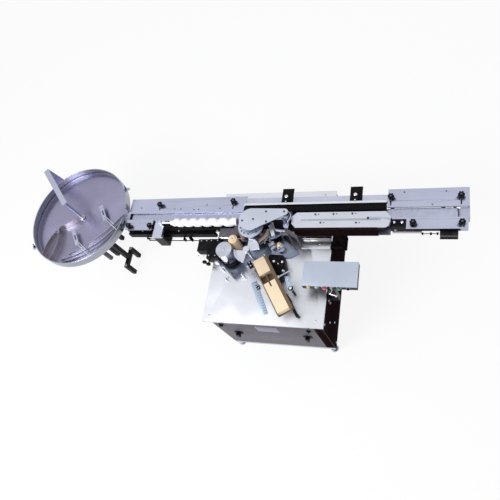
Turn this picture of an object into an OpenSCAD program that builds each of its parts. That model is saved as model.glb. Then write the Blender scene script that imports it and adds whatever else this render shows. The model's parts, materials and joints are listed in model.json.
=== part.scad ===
// Wet glue labeling machine: a stainless cabinet with a labeling head on its table,
// a slat conveyor across the back of the table and an infeed turntable at its left end.
// X runs along the conveyor, Y to the back and Z up. Units are millimetres.
// The origin is on the floor under the middle of the whole machine.

/* [Cabinet] */
// Width of the table top
table_w = 1030; // [900:10:1200]
// Depth of the table top
table_d = 1228; // [1150:2:1300]
// Height of the table top over the floor
table_z = 720; // [680:5:760]
// Depth of the folded edge round the table top
table_lip = 28; // [20:1:40]
// How far the table top stands out past the cabinet on the left
table_overhang = 85; // [40:5:120]
// How far the table top stands out past the cabinet on the right
side_recess = 7; // [5:1:12]
// Thickness of the sheet steel
sheet_t = 3; // [2:0.5:4]
// Width of the square tube of the cabinet frame
frame_tube = 40; // [30:1:50]
// Height of the frame over the floor
foot_h = 70; // [50:1:90]
// Height of the front panel's lower edge over the floor
front_panel_z = 130; // [115:1:160]
// Radius of a levelling foot
foot_r = 20; // [16:1:26]
// Width of the blank nameplate
nameplate_w = 190; // [120:5:220]
// Height of the blank nameplate
nameplate_h = 130; // [80:5:150]
// Length of the grip of a panel latch
latch_l = 86; // [60:1:100]

/* [Conveyor] */
// Place of the conveyor's left end along X
conveyor_x0 = -1411; // [-1416:1:-1400]
// Place of the conveyor's right end along X
conveyor_x1 = 1556; // [1540:1:1600]
// Middle of the bottle lane, behind the middle of the table
lane_y = 311.5; // [308:0.5:314]
// Width of the slats of the chain
chain_w = 82.5; // [76:0.5:84]
// Height of the chain's top over the table top
chain_rise = 130; // [120:1:135]
// Outer radius of the chain round its sprockets
chain_r = 38; // [34:1:39]
// Thickness of the slats and links
chain_t = 6; // [4:0.5:8]
// Pitch of the slats
slat_pitch = 38.1; // [30:0.1:50]
// Width of the lane between the guide plates
lane_w = 91; // [88:0.5:100]
// Height of the guide plates over the chain's top
guide_rise = 20; // [17:1:24]
// Depth of the side channels of the conveyor
channel_h = 75; // [72:1:90]
// Thickness of the side channels
channel_t = 4; // [3:0.5:5]
// Outer radius of the star knobs
knob_r = 25; // [20:1:28]
// Height of the star knobs over the guide plates
knob_h = 30; // [24:1:36]
// Travel of a guide plate each way in its slots
guide_travel = 25; // [10:1:26]

/* [Turntable] */
// Outer radius of the rim
rim_r = 521; // [512:1:524]
// Height of the rim's top over the disc
rim_rise = 75; // [60:1:90]
// Height of the centre post over the disc
post_rise = 295; // [250:5:320]
// Thickness of the disc
disc_t = 5; // [4:0.5:6]
// Height of the rotary guides over the disc
rail_h = 38; // [30:1:45]

/* [Feed screw] */
// Outer radius of the feed screw
screw_r = 39; // [30:1:40]
// Depth of the screw's pockets
pocket_depth = 15; // [8:1:17]
// Pitch of the pockets at the infeed end
pitch_in = 80; // [60:1:90]
// Pitch of the pockets at the outfeed end
pitch_out = 110; // [95:1:120]

/* [Wrap station] */
// Radius of the belt pulleys
pulley_r = 66; // [58:1:67]
// Thickness of the press belt
belt_t = 4; // [3:0.5:5]
// Height of the press belt
belt_h = 44; // [36:1:46]
// Distance between the belt pulleys
pulley_span = 620; // [560:5:640]
// Length of the rear pressure pad
pad_l = 1200; // [1150:10:1210]
// Depth of the rear pressure pad
pad_d = 50; // [40:1:54]

/* [Label head] */
// Radius of the gripper drum's top disc
drum_r = 112; // [100:1:114]
// Radius over the gripper drum's pads
drum_pad_r = 128; // [122:1:129]
// Radius of the glue roller
glue_roller_r = 39; // [32:1:40]
// Radius of the glue drum
glue_drum_r = 70; // [60:1:71]
// Reach of the picker's pallets
picker_r = 110; // [96:1:112]
// Width of the label stack
label_w = 100; // [80:1:104]
// Length of the magazine
magazine_l = 518; // [480:2:540]
// Angle of the magazine away from the machine's front
magazine_angle = 32.6; // [31:0.2:34]

/* [Control box] */
// Width of the control box
control_w = 420; // [380:5:440]
// Depth of the control box
control_d = 200; // [180:5:210]
// Height of the control box
control_h = 65; // [60:1:80]
// Travel of the push buttons
button_travel = 4; // [2:0.5:5]

/* [Hidden] */
$fn = 48;

// Clearances: face to face within a body, running fits at shafts, air between bodies
fit = 0.05;
air = 0.3;
seam = 0.5;
over = 20;

// Cabinet, worked out from the table top
table_x0 = -table_w / 2;
table_x1 = table_w / 2;
table_y0 = -table_d / 2;
table_y1 = table_d / 2;
top_under = table_z - sheet_t;
body_x0 = table_x0 + table_overhang;
body_x1 = table_x1 - side_recess;
tube_x0 = body_x0 + sheet_t;
tube_x1 = body_x1 - sheet_t;
tube_y0 = table_y0 + sheet_t;
tube_y1 = table_y1 - sheet_t;
panel_top = table_z - table_lip - seam;
shelf_h = 154;
shelf_t = 4;
shelf_tie_y = 300;
foot_pad_h = 14;
foot_stem_r = 8;
nameplate_x = 23;
nameplate_z = 580;
nameplate_t = 1.5;
latch_w = 24;
latch_reach = 26;
latch_stem_r = 8;
latch_boss_r = 20;
latch_tongue_l = 48;
latch_tongue_t = 8;
latch_left_place = [-280, 439];
latch_right_place = [334, 437];

// Inside drive
shaft_r = 15;
gearbox_size = [180, 160, 316];
motor_r = 75;
motor_l = 240;
motor_cowl_r = 80;
motor_cowl_l = 45;
motor_axis_rise = 100;
motor_foot_w = 120;

// Conveyor levels and edges
chain_top = table_z + chain_rise;
guide_top = chain_top + guide_rise;
channel_top = guide_top - sheet_t - air;
channel_z0 = channel_top - channel_h;
channel_y0 = lane_y - 125.5;
channel_y1 = lane_y + 163.5;
flange_w = 70;
foot_flange_w = 40;
sprocket_z = chain_top - chain_r;
transfer_t = 3;
transfer_lift = 0.5;
transfer_z1 = chain_top + transfer_lift;
transfer_z0 = transfer_z1 - transfer_t;
skirt_d = 26;
skirt_z0 = 735;
skirt_h = 60;
chain_y0 = lane_y - chain_w / 2;
lane_y0 = lane_y - lane_w / 2;
lane_y1 = lane_y + lane_w / 2;
dead_plate_l = 56;
tail_x = conveyor_x0 + chain_r + 2 * channel_t;
head_x = conveyor_x1 - chain_r - dead_plate_l;
transfer_end_x = tail_x - chain_r * 0.42;
sprocket_r = chain_r - chain_t - seam;
sprocket_teeth = 10;
sprocket_w = 38;
sprocket_hub_r = 26;
axle_r = 12.5;
slat_gap = 1.2;
slat_groove = 2;
tie_w = 30;
tie_h = 26;
tie_count = 8;
wear_w = 10;
wear_y = 24;
end_plate_l = 12;
end_plate_w = 102;
rail_strip_h = 28;
rail_strip_t = 12;
rail_strip_l = 220;
support_w = 60;
support_places = [-470, -60, 330];
leg_size = [34, 112, 60];
leg_rise = 8;
leg_x = 606;
conveyor_motor_size = [130, 46, 82];
conveyor_motor_lead = 25;
conveyor_motor_drop = 38;
conduit_r = 4;
conduit_y = 142;
conduit_z = 702;
conduit_x0 = -1230;
clip_w = 10;
clip_places = [-1130, -850, -780];

// Guide plates: edges along X, outer edges along Y, and their knobs
rear_left_x = [conveyor_x0, -240];
rear_right_x = [966, 1566];
front_left_x = [conveyor_x0, -1128];
front_right_x = [1113, 1551];
front_right_step_x = 1006;
rear_left_y = [lane_y + 30, lane_y + 183.5];
rear_right_y = [lane_y + 45.5, lane_y + 209.5];
front_left_y = [lane_y - 143.5, lane_y - 34.5];
front_right_y = [lane_y - 144.5, lane_y - 45.5];
guide_flange = 15;
step_w = 15;
slot_w = 12;
stud_r = 5;
rear_left_knobs = [[-1091, 425], [-356, 441]];
rear_right_knobs = [[990, 445], [1507, 445]];
front_left_knobs = [[-1370, 207], [-1146, 207]];
front_right_knobs = [[1164, 214], [1513, 214]];

// Feed screw
screw_y = lane_y - 92.5;
screw_z = guide_top + screw_r + 3;
spindle_r = 8;
screw_x0 = -915;
screw_full_x = -865;
screw_x1 = -270;
spindle_x0 = -1030;
spindle_x1 = -258;
journal_share = 0.45;
pocket_start_x = -818;
bracket_x = [-1100, -1007];
bracket_y = [101, 262];
bracket_h = 195;
bearing_w = 28;
bearing_l = 23;
bearing_rise = 22;
screw_drive_x = [-440, -270];
screw_drive_y0 = 104;
screw_drive_h = 140;
drive_link_w = 40;
pillar_gap = 3;
pillar_t = 10;
gearbox_a_x = -646;
gearbox_a_y = [-14, 100];
gearbox_a_h = 80;
gearbox_b_x = [-544, -434];
gearbox_b_y = [-80, 103];
gearbox_b_h = 100;
cap_screw_r = 8;
cap_screw_h = 8;

// Wrap station: the belt in front of the lane and the pad behind it
belt_axis_y = lane_y - 90.5;
pulley_x = 300;
belt_air = 0.5;
belt_base_t = 6;
belt_plate_t = 8;
belt_top_z = 922;
belt_z0 = channel_top + belt_base_t + 2;
belt_plate_x = [215, 1004];
belt_plate_y = [lane_y - 159.5, lane_y - 20.5];
belt_chamfer = 38;
belt_shaft_r = 10;
belt_shaft_foot = 680;
belt_post_r = 8;
belt_post_places = [400, 600, 800];
guard_x = [232, 905];
guard_y = 140;
guard_z = 800;
guard_t = 6;
guard_bracket_y = 129;
guard_bracket_l = 94;
guard_bracket_z = 836;
pad_x0 = -238;
pad_y = lane_y + 13;
pad_z = 862;
pad_h = 36;
pad_rod_r = 8;
pad_rod_z = 886;
pad_rod_places = [134, 714];
pad_rod_l = 120;
pad_bracket_w = 100;
pad_bracket_y = [408, 555];
pad_bracket_h = 34;
pad_rail_w = 16;
pad_rail_y = 386;

// Turntable
turn_x = -1948;
turn_y = 315;
disc_z = chain_top + 1;
disc_r = rim_r - 15;
rim_t = 3;
rim_z0 = disc_z - disc_t - rim_t - seam * 2;
rim_flange = 30;
bead_r = 5;
turn_shaft_r = 17.5;
turn_shaft_l = 210;
turn_hub_h = 10;
post_r = 16;
post_gap = 2;
arm_angle = 133.4;
arm_w = 52;
arm_t = 4;
upright_foot_w = 100;
strip_t = 2;
strip_gap = 3;
strip_h = 60;
strip_a = [[turn_x, turn_y], [-2122, 194]];
strip_b = [[-2122, 194], [-2226, -172]];
strip_c = [[-2136, 172], [-2152, -182]];
strip_a_bow = 14;
strip_b_bow = -46;
strip_c_bow = 40;
rail_inner = [[-1952, -92], [-1442, 348]];
rail_inner_bow = -45;
rail_outer = [[-2027, -152], [-1430, 312]];
rail_outer_bow = -82;
rail_low = [[-2002, -174], [-1455, 246]];
rail_low_bow = -88;
rail_gap = 4;
rod_r = 4.5;
rod_z = 886;
slot_plate_w = 38;
slot_plate_l = 186;
slot_plate_t = 4;
slot_plate_a = [-1693, 345];
slot_plate_b = [-1928, 81];
slot_plate_turn = -57;
bracket_rods_share = [0.16, 0.44];
bracket_rod_l = [175, 400];
bracket_rod_turn = -35;
clip_turn = [31, 220];
clip_h = 18;
clip_drop = 38;
clip_l = 42;
clip_stud_r = 8;
clip_stud_h = 20;
stand_post_w = 44;
stand_bar_w = 40;
stand_bar_l = 236;
stand_bar_z = 150;
stand_bar_h = 40;
stand_leg_w = 42;
stand_places = [[-1787, 190], [-2063, 402]];
beam_z = 790;
beam_top = disc_z - disc_t - turn_hub_h - air;
arm_bar_w = 40;
arm_bar_z = beam_top - arm_bar_w * 0.55;
arm_tongue_l = 22;
arm_tongue_h = 13;
rim_arm_turns = [-128, -51.7, -38.3, 52, 143.5, 217];
motor_tube_r = 22;
motor_tube_z0 = 570;
motor_tube_place = [-1703, 11];
motor_case_r = [40, 30];
motor_case_w = 24;
motor_case_h = 28;

// Label head on the table
drum_x = -125;
drum_y = 165;
drum_top_z = 955;
drum_disc_t = 10;
drum_core_r = 60;
drum_pad_z = 870;
drum_pad_h = 24;
drum_pad_t = 26;
drum_pad_turns = [-32, 88, 208];
drum_pad_span = 58;
drum_arm_w = 24;
drum_arm_h = 20;
drum_shaft_foot = 402;
teardrop_t = 8;
teardrop_z = 992;
teardrop_big = [-120, 200];
teardrop_big_r = 100;
teardrop_small = [165, 262];
teardrop_small_r = 30;
head_base_t = 12;
head_base_outline = [[-428, -80], [-428, 96], [-262, 96], [-262, 184], [40, 184], [104, 160], [262, 12],
                     [185, -28], [20, -28], [-4, -62], [-180, -110], [-204, -112], [-288, -220]];
deck_z = 836;
deck_t = 6;
deck_outline = [[-232, 70], [-60, 66], [72, 100], [134, 146], [134, 184], [-232, 184]];
column_r = 9;
column_foot = 30;
column_places = [[150, 220], [25, 205]];
deck_column_places = [[-205, 110], [100, 148], [10, 105]];
roller_x = -275;
roller_y = 45;
roller_z = 780;
roller_h = 158;
roller_boss_r = 25;
roller_boss_h = 12;
roller_shaft_r = 10;
glue_x = -337;
glue_y = -51;
glue_z = 780;
glue_h = 160;
glue_shaft_r = 12;
tray_outline = [[-424, -76], [-424, 60], [-330, 60], [-235, 90], [-228, 10], [-262, -6], [-212, -108], [-286, -212]];
tray_floor_t = 3;
tray_wall_t = 4;
tray_wall_h = 45;
tray_corners = [[-432, -88], [-290, -227], [-203, -125]];
picker_x = -139;
picker_y = -46;
picker_z = 905;
picker_h = 22;
picker_hub_r = 28;
picker_hub_h = 34;
picker_shaft_r = 12;
pallet_turns = [48, 222];
pallet_span = 84;
pallet_rim_t = 8;
pallet_web_t = 8;
valve_a = [30, 60];
valve_b = [108, 36];
valve_r = 30;
valve_h = 46;
valve_block = [34, 52, 40];
valve_turn = -58;
fitting_r = 9;
fitting_h = 22;
cam_outline = [[28, -36], [150, -43], [182, -150], [152, -247], [60, -235], [12, -120]];
cam_h = 96;
cam_cap_r = 13;
cam_cap_h = 6;
cam_caps = [[76, -103], [150, -106], [118, -125]];
cam_knob = [168, -185];
arm_knots = [[192, 300], [169, 146], [268, 78]];
arm_link_z = 900;
arm_link_w = 26;
arm_link_t = 10;
arm_bolt_r = 9;
arm_bolt_h = 10;

// Magazine, in its own frame: X along it to the rear end, Y across it
magazine_front = [-36, -115];
magazine_floor_z = 846;
magazine_floor_t = 4;
magazine_gap = 1;
side_left_t = 8;
side_right_t = 24;
side_h = 48;
stack_l = 146;
stack_h = 50;
recess_l = 46;
divider_t = 6;
divider_h = 30;
divider_gap = 3;
pusher_finger_l = 45;
pusher_h = 52;
pusher_end = 12;
divider_l = stack_l + recess_l + pusher_finger_l - seam;
pusher_travel = 40;
pedestal_size = [220, 64];
pedestal_x = 230;
scale_l = 315;
scale_w = 52;
scale_t = 4;
scale_place = [-130, -262];
scale_turn = -63.4;
scale_mark_count = 13;
scale_mark_size = [1.5, 14, 0.8];
clamp_r = 6;
clamp_l = 130;
clamp_bar_l = 42;
clamp_bar_r = 4;
clamp_boss_r = 14;
clamp_x = 222;
clamp_z = 872;

// Control box
control_x = 580;
control_y = -251.5;
control_z1 = 950;
control_t = 2;
post_tube = 40;
post_plate = [12, 90, 90];
post_plate_z = 600;
control_post_x = 585;
control_post_y = -320;
button_z = 924;
yellow_x = 417;
white_x = 481;
red_x = 543;
selector_x = 598;
green_x = 651;
speed_x = 723;
lamp_r = 11;
lamp_h = 8;
red_r = 15;
green_r = 16;
button_cap_h = 12;
button_stem_r = 8;
button_stem_l = 22;
selector_r = 12;
selector_h = 10;
selector_grip = [7, 9, 22];
speed_r = 9;
speed_h = 16;

// The origin lies under the middle of the machine's own reach
reach_x0 = turn_x - rim_r;
reach_x1 = conveyor_x1 + end_plate_l;
reach_y0 = table_y0 - latch_reach - latch_w / 2;
reach_y1 = turn_y + rim_r;
shift_x = -(reach_x0 + reach_x1) / 2;
shift_y = -(reach_y0 + reach_y1) / 2;

module machine() { translate([shift_x, shift_y, 0]) children(); }

// A box from its lowest corner to its highest
module block(low, high) { translate(low) cube(high - low); }

module rod_x(at, r, l) { translate(at) rotate([0, 90, 0]) cylinder(r = r, h = l); }

module rod_y(at, r, l) { translate(at) rotate([-90, 0, 0]) cylinder(r = r, h = l); }

module rod_z(at, r, l) { translate(at) cylinder(r = r, h = l); }

// Two round ends joined by their common tangents
module link_2d(a, ra, b, rb) {
    run = b - a;
    gap = norm(run);
    aim = atan2(run[1], run[0]);
    lean = acos((ra - rb) / gap);
    function rim(c, r, turn) = [c[0] + r * cos(turn), c[1] + r * sin(turn)];
    translate(a) circle(r = ra);
    translate(b) circle(r = rb);
    polygon([rim(a, ra, aim + lean), rim(a, ra, aim - lean),
             rim(b, rb, aim - lean), rim(b, rb, aim + lean)]);
}

module slot_2d(at, w, l) { link_2d(at - [0, l / 2], w / 2, at + [0, l / 2], w / 2); }

// Points on a bowed line from a to b, moved sideways by off
function bow_points(a, b, bow, off, n) = let (
    run = b - a,
    chord = norm(run),
    side = [-run[1], run[0]] / chord
) [for (i = [0 : n]) let (t = i / n) a + run * t + side * (4 * bow * t * (1 - t) + off)];

// An upright strip that follows a bowed line
module bow_strip(a, b, bow, t, z, h) {
    n = 12;
    left = bow_points(a, b, bow, t / 2, n);
    right = bow_points(a, b, bow, -t / 2, n);
    translate([0, 0, z]) linear_extrude(h)
        polygon(concat(left, [for (i = [n : -1 : 0]) right[i]]));
}

module star_2d(r) {
    lobes = 6;
    circle(r = r * 0.72);
    for (i = [0 : lobes - 1]) rotate(i * 360 / lobes) translate([r * 0.68, 0]) circle(r = r * 0.32);
}

// Cabinet

module cabinet_frame() {
    z1 = foot_h + frame_tube;
    color("silver") machine() {
        for (x = [tube_x0, tube_x1 - frame_tube], y = [tube_y0, tube_y1 - frame_tube])
            block([x, y, foot_h], [x + frame_tube, y + frame_tube, top_under]);
        for (z = [foot_h, top_under - frame_tube]) {
            for (y = [tube_y0, tube_y1 - frame_tube])
                block([tube_x0, y, z], [tube_x1, y + frame_tube, z + frame_tube]);
            for (x = [tube_x0, tube_x1 - frame_tube])
                block([x, tube_y0, z], [x + frame_tube, tube_y1, z + frame_tube]);
        }
        for (y = [-shelf_tie_y, shelf_tie_y - frame_tube])
            block([tube_x0, y, z1 - frame_tube], [tube_x1, y + frame_tube, shelf_h - shelf_t]);
        block([tube_x0 + frame_tube, -shelf_tie_y, shelf_h - shelf_t],
              [tube_x1 - frame_tube, shelf_tie_y, shelf_h]);
    }
}

module cabinet_top() {
    color("gainsboro") machine() difference() {
        block([table_x0, table_y0, table_z - table_lip], [table_x1, table_y1, table_z]);
        block([table_x0 + sheet_t, table_y0 + sheet_t, table_z - table_lip - over],
              [table_x1 - sheet_t, table_y1 - sheet_t, top_under]);
        rod_z([drum_x, drum_y, top_under - over], shaft_r * 1.4, sheet_t + 2 * over);
        rod_z([pulley_x, belt_axis_y, top_under - over], belt_shaft_r * 1.4, sheet_t + 2 * over);
    }
}

module latch_hole(place) {
    rod_y([place[0], table_y0 - over, place[1]], latch_stem_r + fit, sheet_t + 2 * over);
}

module front_panel() {
    color("darkgray") machine() difference() {
        block([body_x0, table_y0, front_panel_z], [body_x1, table_y0 + sheet_t, panel_top]);
        latch_hole(latch_left_place);
        latch_hole(latch_right_place);
    }
}

module cabinet_panels() {
    color([0.2, 0.13, 0.13]) machine() {
        for (x = [body_x0, body_x1 - sheet_t])
            block([x, tube_y0, foot_h], [x + sheet_t, tube_y1, panel_top]);
        block([body_x0, tube_y1, foot_h], [body_x1, table_y1, panel_top]);
    }
}

module levelling_feet() {
    inset = frame_tube / 2;
    color("dimgray") machine()
        for (x = [tube_x0 + inset, tube_x1 - inset], y = [tube_y0 + inset, tube_y1 - inset]) {
            rod_z([x, y, 0], foot_r, foot_pad_h);
            rod_z([x, y, foot_pad_h], foot_r * 0.5, foot_pad_h * 0.6);
            rod_z([x, y, foot_pad_h], foot_stem_r, foot_h - foot_pad_h);
        }
}

module nameplate() {
    color("lightsteelblue") machine()
        block([nameplate_x - nameplate_w / 2, table_y0 - nameplate_t, nameplate_z - nameplate_h / 2],
              [nameplate_x + nameplate_w / 2, table_y0, nameplate_z + nameplate_h / 2]);
}

// A quarter-turn latch: grip outside, stem through the panel, tongue behind it
module latch(place) {
    inside = table_y0 + sheet_t + air;
    color([0.08, 0.08, 0.09]) machine() translate([place[0], 0, place[1]]) {
        rod_y([0, table_y0 - latch_reach, 0], latch_boss_r, latch_reach - air);
        rod_y([0, table_y0 - latch_reach, 0], latch_stem_r, latch_reach + sheet_t + latch_tongue_t);
        translate([0, table_y0 - latch_reach + latch_w / 2, 0]) rotate([90, 0, 0])
            linear_extrude(latch_w)
                link_2d([0, latch_l / 2 - latch_w / 2], latch_w / 2,
                        [0, latch_w / 2 - latch_l / 2], latch_w / 2);
        block([-latch_tongue_l / 2, inside, -latch_stem_r],
              [latch_tongue_l / 2, inside + latch_tongue_t, latch_stem_r]);
    }
}

module latch_left() { latch(latch_left_place); }

module latch_right() { latch(latch_right_place); }

// Drive inside the cabinet

module main_drive() {
    z1 = shelf_h + gearbox_size[2];
    half = [gearbox_size[0], gearbox_size[1]] / 2;
    x0 = drum_x + half[0];
    z = shelf_h + motor_axis_rise;
    color("slategray") machine() difference() {
        union() {
            block([drum_x - half[0], drum_y - half[1], shelf_h],
                  [drum_x + half[0], drum_y + half[1], z1 - over]);
            rod_z([drum_x, drum_y, z1 - over], half[1] * 0.6, over);
        }
        rod_z([drum_x, drum_y, drum_shaft_foot - seam], shaft_r + fit, z1);
    }
    color("steelblue") machine() {
        rod_x([x0, drum_y, z], motor_r, motor_l);
        rod_x([x0 + motor_l, drum_y, z], motor_cowl_r, motor_cowl_l);
        block([x0 + motor_l * 0.15, drum_y - motor_foot_w / 2, shelf_h],
              [x0 + motor_l * 0.85, drum_y + motor_foot_w / 2, z]);
    }
}

// Conveyor

module channel(y, side) {
    outer = side > 0 ? y : y - flange_w;
    low = side > 0 ? y : y - foot_flange_w;
    x0 = conveyor_x0;
    x1 = conveyor_x1;
    block([x0, side > 0 ? y : y - channel_t, channel_z0], [x1, side > 0 ? y + channel_t : y, channel_top]);
    block([x0, outer, channel_top - channel_t], [x1, outer + flange_w, channel_top]);
    block([x0, low, channel_z0], [x1, low + foot_flange_w, channel_z0 + channel_t]);
}

module conveyor_frame() {
    run0 = tail_x + chain_r;
    run1 = head_x - chain_r;
    tie_z = sprocket_z - tie_h / 2;
    rail_z = chain_top - chain_t;
    color([0.13, 0.13, 0.14]) machine() difference() {
        union() {
            channel(channel_y0, 1);
            channel(channel_y1, -1);
            for (i = [0 : tie_count - 1]) {
                x = run0 + tie_w + i * (run1 - run0 - 3 * tie_w) / (tie_count - 1);
                block([x, channel_y0 + channel_t, tie_z], [x + tie_w, channel_y1 - channel_t, tie_z + tie_h]);
            }
            for (y = [lane_y - wear_y - wear_w, lane_y + wear_y])
                block([run0, y, tie_z + tie_h], [run1, y + wear_w, rail_z]);
            block([conveyor_x1, lane_y - end_plate_w / 2, channel_z0],
                  [conveyor_x1 + end_plate_l, lane_y + end_plate_w / 2, chain_top]);
            block([conveyor_x1 - channel_t, channel_y0 + channel_t, channel_z0 + channel_t],
                  [conveyor_x1, channel_y1 - channel_t, chain_top]);
            block([head_x + chain_r + seam, lane_y0, chain_top - channel_t],
                  [conveyor_x1 - channel_t, lane_y1, chain_top]);
            block([conveyor_x0, channel_y0 + channel_t, channel_z0 + channel_t],
                  [conveyor_x0 + channel_t, channel_y1 - channel_t, transfer_z0]);
            block([turn_x, lane_y0 + transfer_t, transfer_z0], [transfer_end_x, lane_y1 - transfer_t, transfer_z1]);
            for (ends = [[conveyor_x0, bracket_x[0]], [bracket_x[1], table_x0]])
                block([ends[0], channel_y0 - skirt_d, skirt_z0], [ends[1], channel_y0, skirt_z0 + skirt_h]);
        }
        rod_z([turn_x, turn_y, transfer_z0 - over], disc_r + air, transfer_t + 2 * over);
        for (x = [tail_x, head_x])
            rod_y([x, channel_y0 - over, sprocket_z], axle_r + fit, channel_y1 - channel_y0 + 2 * over);
        rod_z([pulley_x, belt_axis_y, channel_z0 - over], belt_shaft_r * 1.4, channel_h + 2 * over);
        for (group = [rear_left_knobs, rear_right_knobs, front_left_knobs, front_right_knobs], p = group)
            rod_z([p[0], p[1], channel_top - channel_t - over], stud_r, channel_t + 2 * over);
    }
}

module conveyor_supports() {
    front = channel_y0 - skirt_d;
    color("gainsboro") machine() {
        for (x = support_places, y = [channel_y0, channel_y1 - foot_flange_w])
            block([x, y, table_z], [x + support_w, y + foot_flange_w, channel_z0]);
        block([front_right_step_x, channel_y0 - rail_strip_t / 2, channel_z0 - rail_strip_h],
              [front_right_step_x + rail_strip_l, channel_y0 + rail_strip_t, channel_z0]);
        rod_x([conduit_x0, conduit_y, conduit_z], conduit_r, table_x0 - conduit_x0);
    }
    color([0.1, 0.1, 0.11]) machine() {
        block([leg_x, channel_y0 - leg_size[1], table_z - leg_size[2]],
              [leg_x + leg_size[0], channel_y0, channel_z0 + leg_rise]);
        block([table_x1, channel_y0 - leg_size[1], table_z - leg_size[2]],
              [leg_x, channel_y0 - leg_size[1] / 2, table_z]);
        for (x = clip_places)
            block([x, conduit_y - conduit_r * 2, conduit_z - conduit_r * 2],
                  [x + clip_w, front, skirt_z0 + clip_w]);
    }
}

module chain_outline(r) {
    hull_x = head_x - tail_x;
    translate([tail_x, sprocket_z]) circle(r = r);
    translate([head_x, sprocket_z]) circle(r = r);
    translate([tail_x, sprocket_z - r]) square([hull_x, 2 * r]);
}

module slat_chain() {
    count = floor((head_x - tail_x) / slat_pitch);
    color("lightgray") machine() difference() {
        translate([0, chain_y0 + chain_w, 0]) rotate([90, 0, 0]) linear_extrude(chain_w) difference() {
            chain_outline(chain_r);
            chain_outline(chain_r - chain_t);
            for (i = [0 : count], z = [chain_top - slat_groove, sprocket_z - chain_r])
                translate([tail_x + i * slat_pitch, z]) square([slat_gap, slat_groove]);
        }
    }
}

module sprocket(x, l0, l1) {
    y = lane_y - sprocket_w / 2;
    color("dimgray") machine() {
        difference() {
            rod_y([x, y, sprocket_z], sprocket_r, sprocket_w);
            for (i = [0 : sprocket_teeth - 1]) translate([x, 0, sprocket_z]) rotate([0, i * 360 / sprocket_teeth, 0])
                rod_y([sprocket_r, y - over, 0], sprocket_r * 0.16, sprocket_w + 2 * over);
        }
        rod_y([x, y - sprocket_w * 0.2, sprocket_z], sprocket_hub_r, sprocket_w * 1.4);
        rod_y([x, l0, sprocket_z], axle_r, l1 - l0);
    }
}

module drive_sprocket() {
    sprocket(head_x, channel_y0 - conveyor_motor_size[1] * 0.6, channel_y1 + channel_t);
}

module tail_sprocket() { sprocket(tail_x, channel_y0 - channel_t, channel_y1 + channel_t); }

module conveyor_motor() {
    low = [head_x + conveyor_motor_lead - conveyor_motor_size[0], channel_y0 - conveyor_motor_size[1],
           channel_top - conveyor_motor_drop - conveyor_motor_size[2]];
    color([0.09, 0.07, 0.07]) machine() difference() {
        block(low, low + conveyor_motor_size);
        rod_y([head_x, low[1] + conveyor_motor_size[1] * 0.3, sprocket_z], axle_r + fit, conveyor_motor_size[1]);
    }
}

// A guide plate: flat top with a slot under each knob and a flange at the lane
module guide_plate(xs, ys, knobs, side) {
    lane_edge = side > 0 ? ys[0] : ys[1];
    flange = side > 0 ? [lane_edge, lane_edge + sheet_t] : [lane_edge - sheet_t, lane_edge];
    color("lavender") machine() difference() {
        union() {
            block([xs[0], ys[0], guide_top - sheet_t], [xs[1], ys[1], guide_top]);
            block([xs[0], flange[0], guide_top - guide_flange], [xs[1], flange[1], guide_top]);
            children();
        }
        translate([0, 0, guide_top - sheet_t - over]) linear_extrude(sheet_t + 2 * over)
            for (p = knobs) slot_2d(p, slot_w, 2 * guide_travel + slot_w * 0.5);
    }
}

module guide_rear_left() { guide_plate(rear_left_x, rear_left_y, rear_left_knobs, 1); }

module guide_rear_right() { guide_plate(rear_right_x, rear_right_y, rear_right_knobs, 1); }

module guide_front_left() { guide_plate(front_left_x, front_left_y, front_left_knobs, -1); }

module guide_front_right() {
    guide_plate(front_right_x, front_right_y, front_right_knobs, -1)
        block([front_right_step_x, front_right_y[1] - step_w, guide_top - sheet_t],
              [front_right_x[0], front_right_y[1], guide_top]);
}

module guide_knobs() {
    base = guide_top + air;
    color([0.07, 0.07, 0.1]) machine()
        for (group = [rear_left_knobs, rear_right_knobs, front_left_knobs, front_right_knobs], p = group) {
            rod_z([p[0], p[1], base], stud_r * 2.2, knob_h * 0.45);
            translate([p[0], p[1], base + knob_h * 0.4]) linear_extrude(knob_h * 0.6) star_2d(knob_r);
            rod_z([p[0], p[1], channel_top - channel_t], stud_r, knob_h);
        }
}

// Feed screw and its bearings

module screw_tail_bracket() {
    x1 = bracket_x[1];
    color("lightgray") machine() difference() {
        union() {
            block([bracket_x[0], bracket_y[0], guide_top - bracket_h],
                  [x1, channel_y0, guide_top]);
            block([bracket_x[0], bracket_y[0], channel_top], [x1, bracket_y[1], guide_top]);
            block([x1 - bearing_l, screw_y - bearing_w / 2, guide_top],
                  [x1, screw_y + bearing_w / 2, screw_z + bearing_rise]);
        }
        rod_x([bracket_x[0], screw_y, screw_z], spindle_r + fit, x1 - bracket_x[0] + over);
        rod_x([bracket_x[0] - over, conduit_y, conduit_z], conduit_r, x1 - bracket_x[0] + 2 * over);
    }
}

// Pocket phase along the screw, in whole turns, with a pitch that grows towards the outfeed
function screw_phase(x) = let (
    u = (x - pocket_start_x) / (screw_x1 - pocket_start_x),
    pitch = pitch_in + (pitch_out - pitch_in) * max(u, 0)
) (x - pocket_start_x) / ((pitch_in + pitch) / 2);

// Radius of the screw where it has no pocket: a cone at the infeed end, then a cylinder
function screw_body(x) = x >= screw_full_x ? screw_r
    : screw_r * (journal_share + (1 - journal_share) * (x - screw_x0) / (screw_full_x - screw_x0));

function screw_radius(x, turn) = let (
    phase = screw_phase(x) - turn / 360,
    nearness = abs(phase - round(phase)) * 2,
    dip = nearness > 0.62 ? 0 : (1 + cos(180 * nearness / 0.62)) / 2,
    fade = min(1, max(0, (x - screw_x0) / (screw_full_x - screw_x0)))
) screw_body(x) - pocket_depth * dip * fade;

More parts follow.
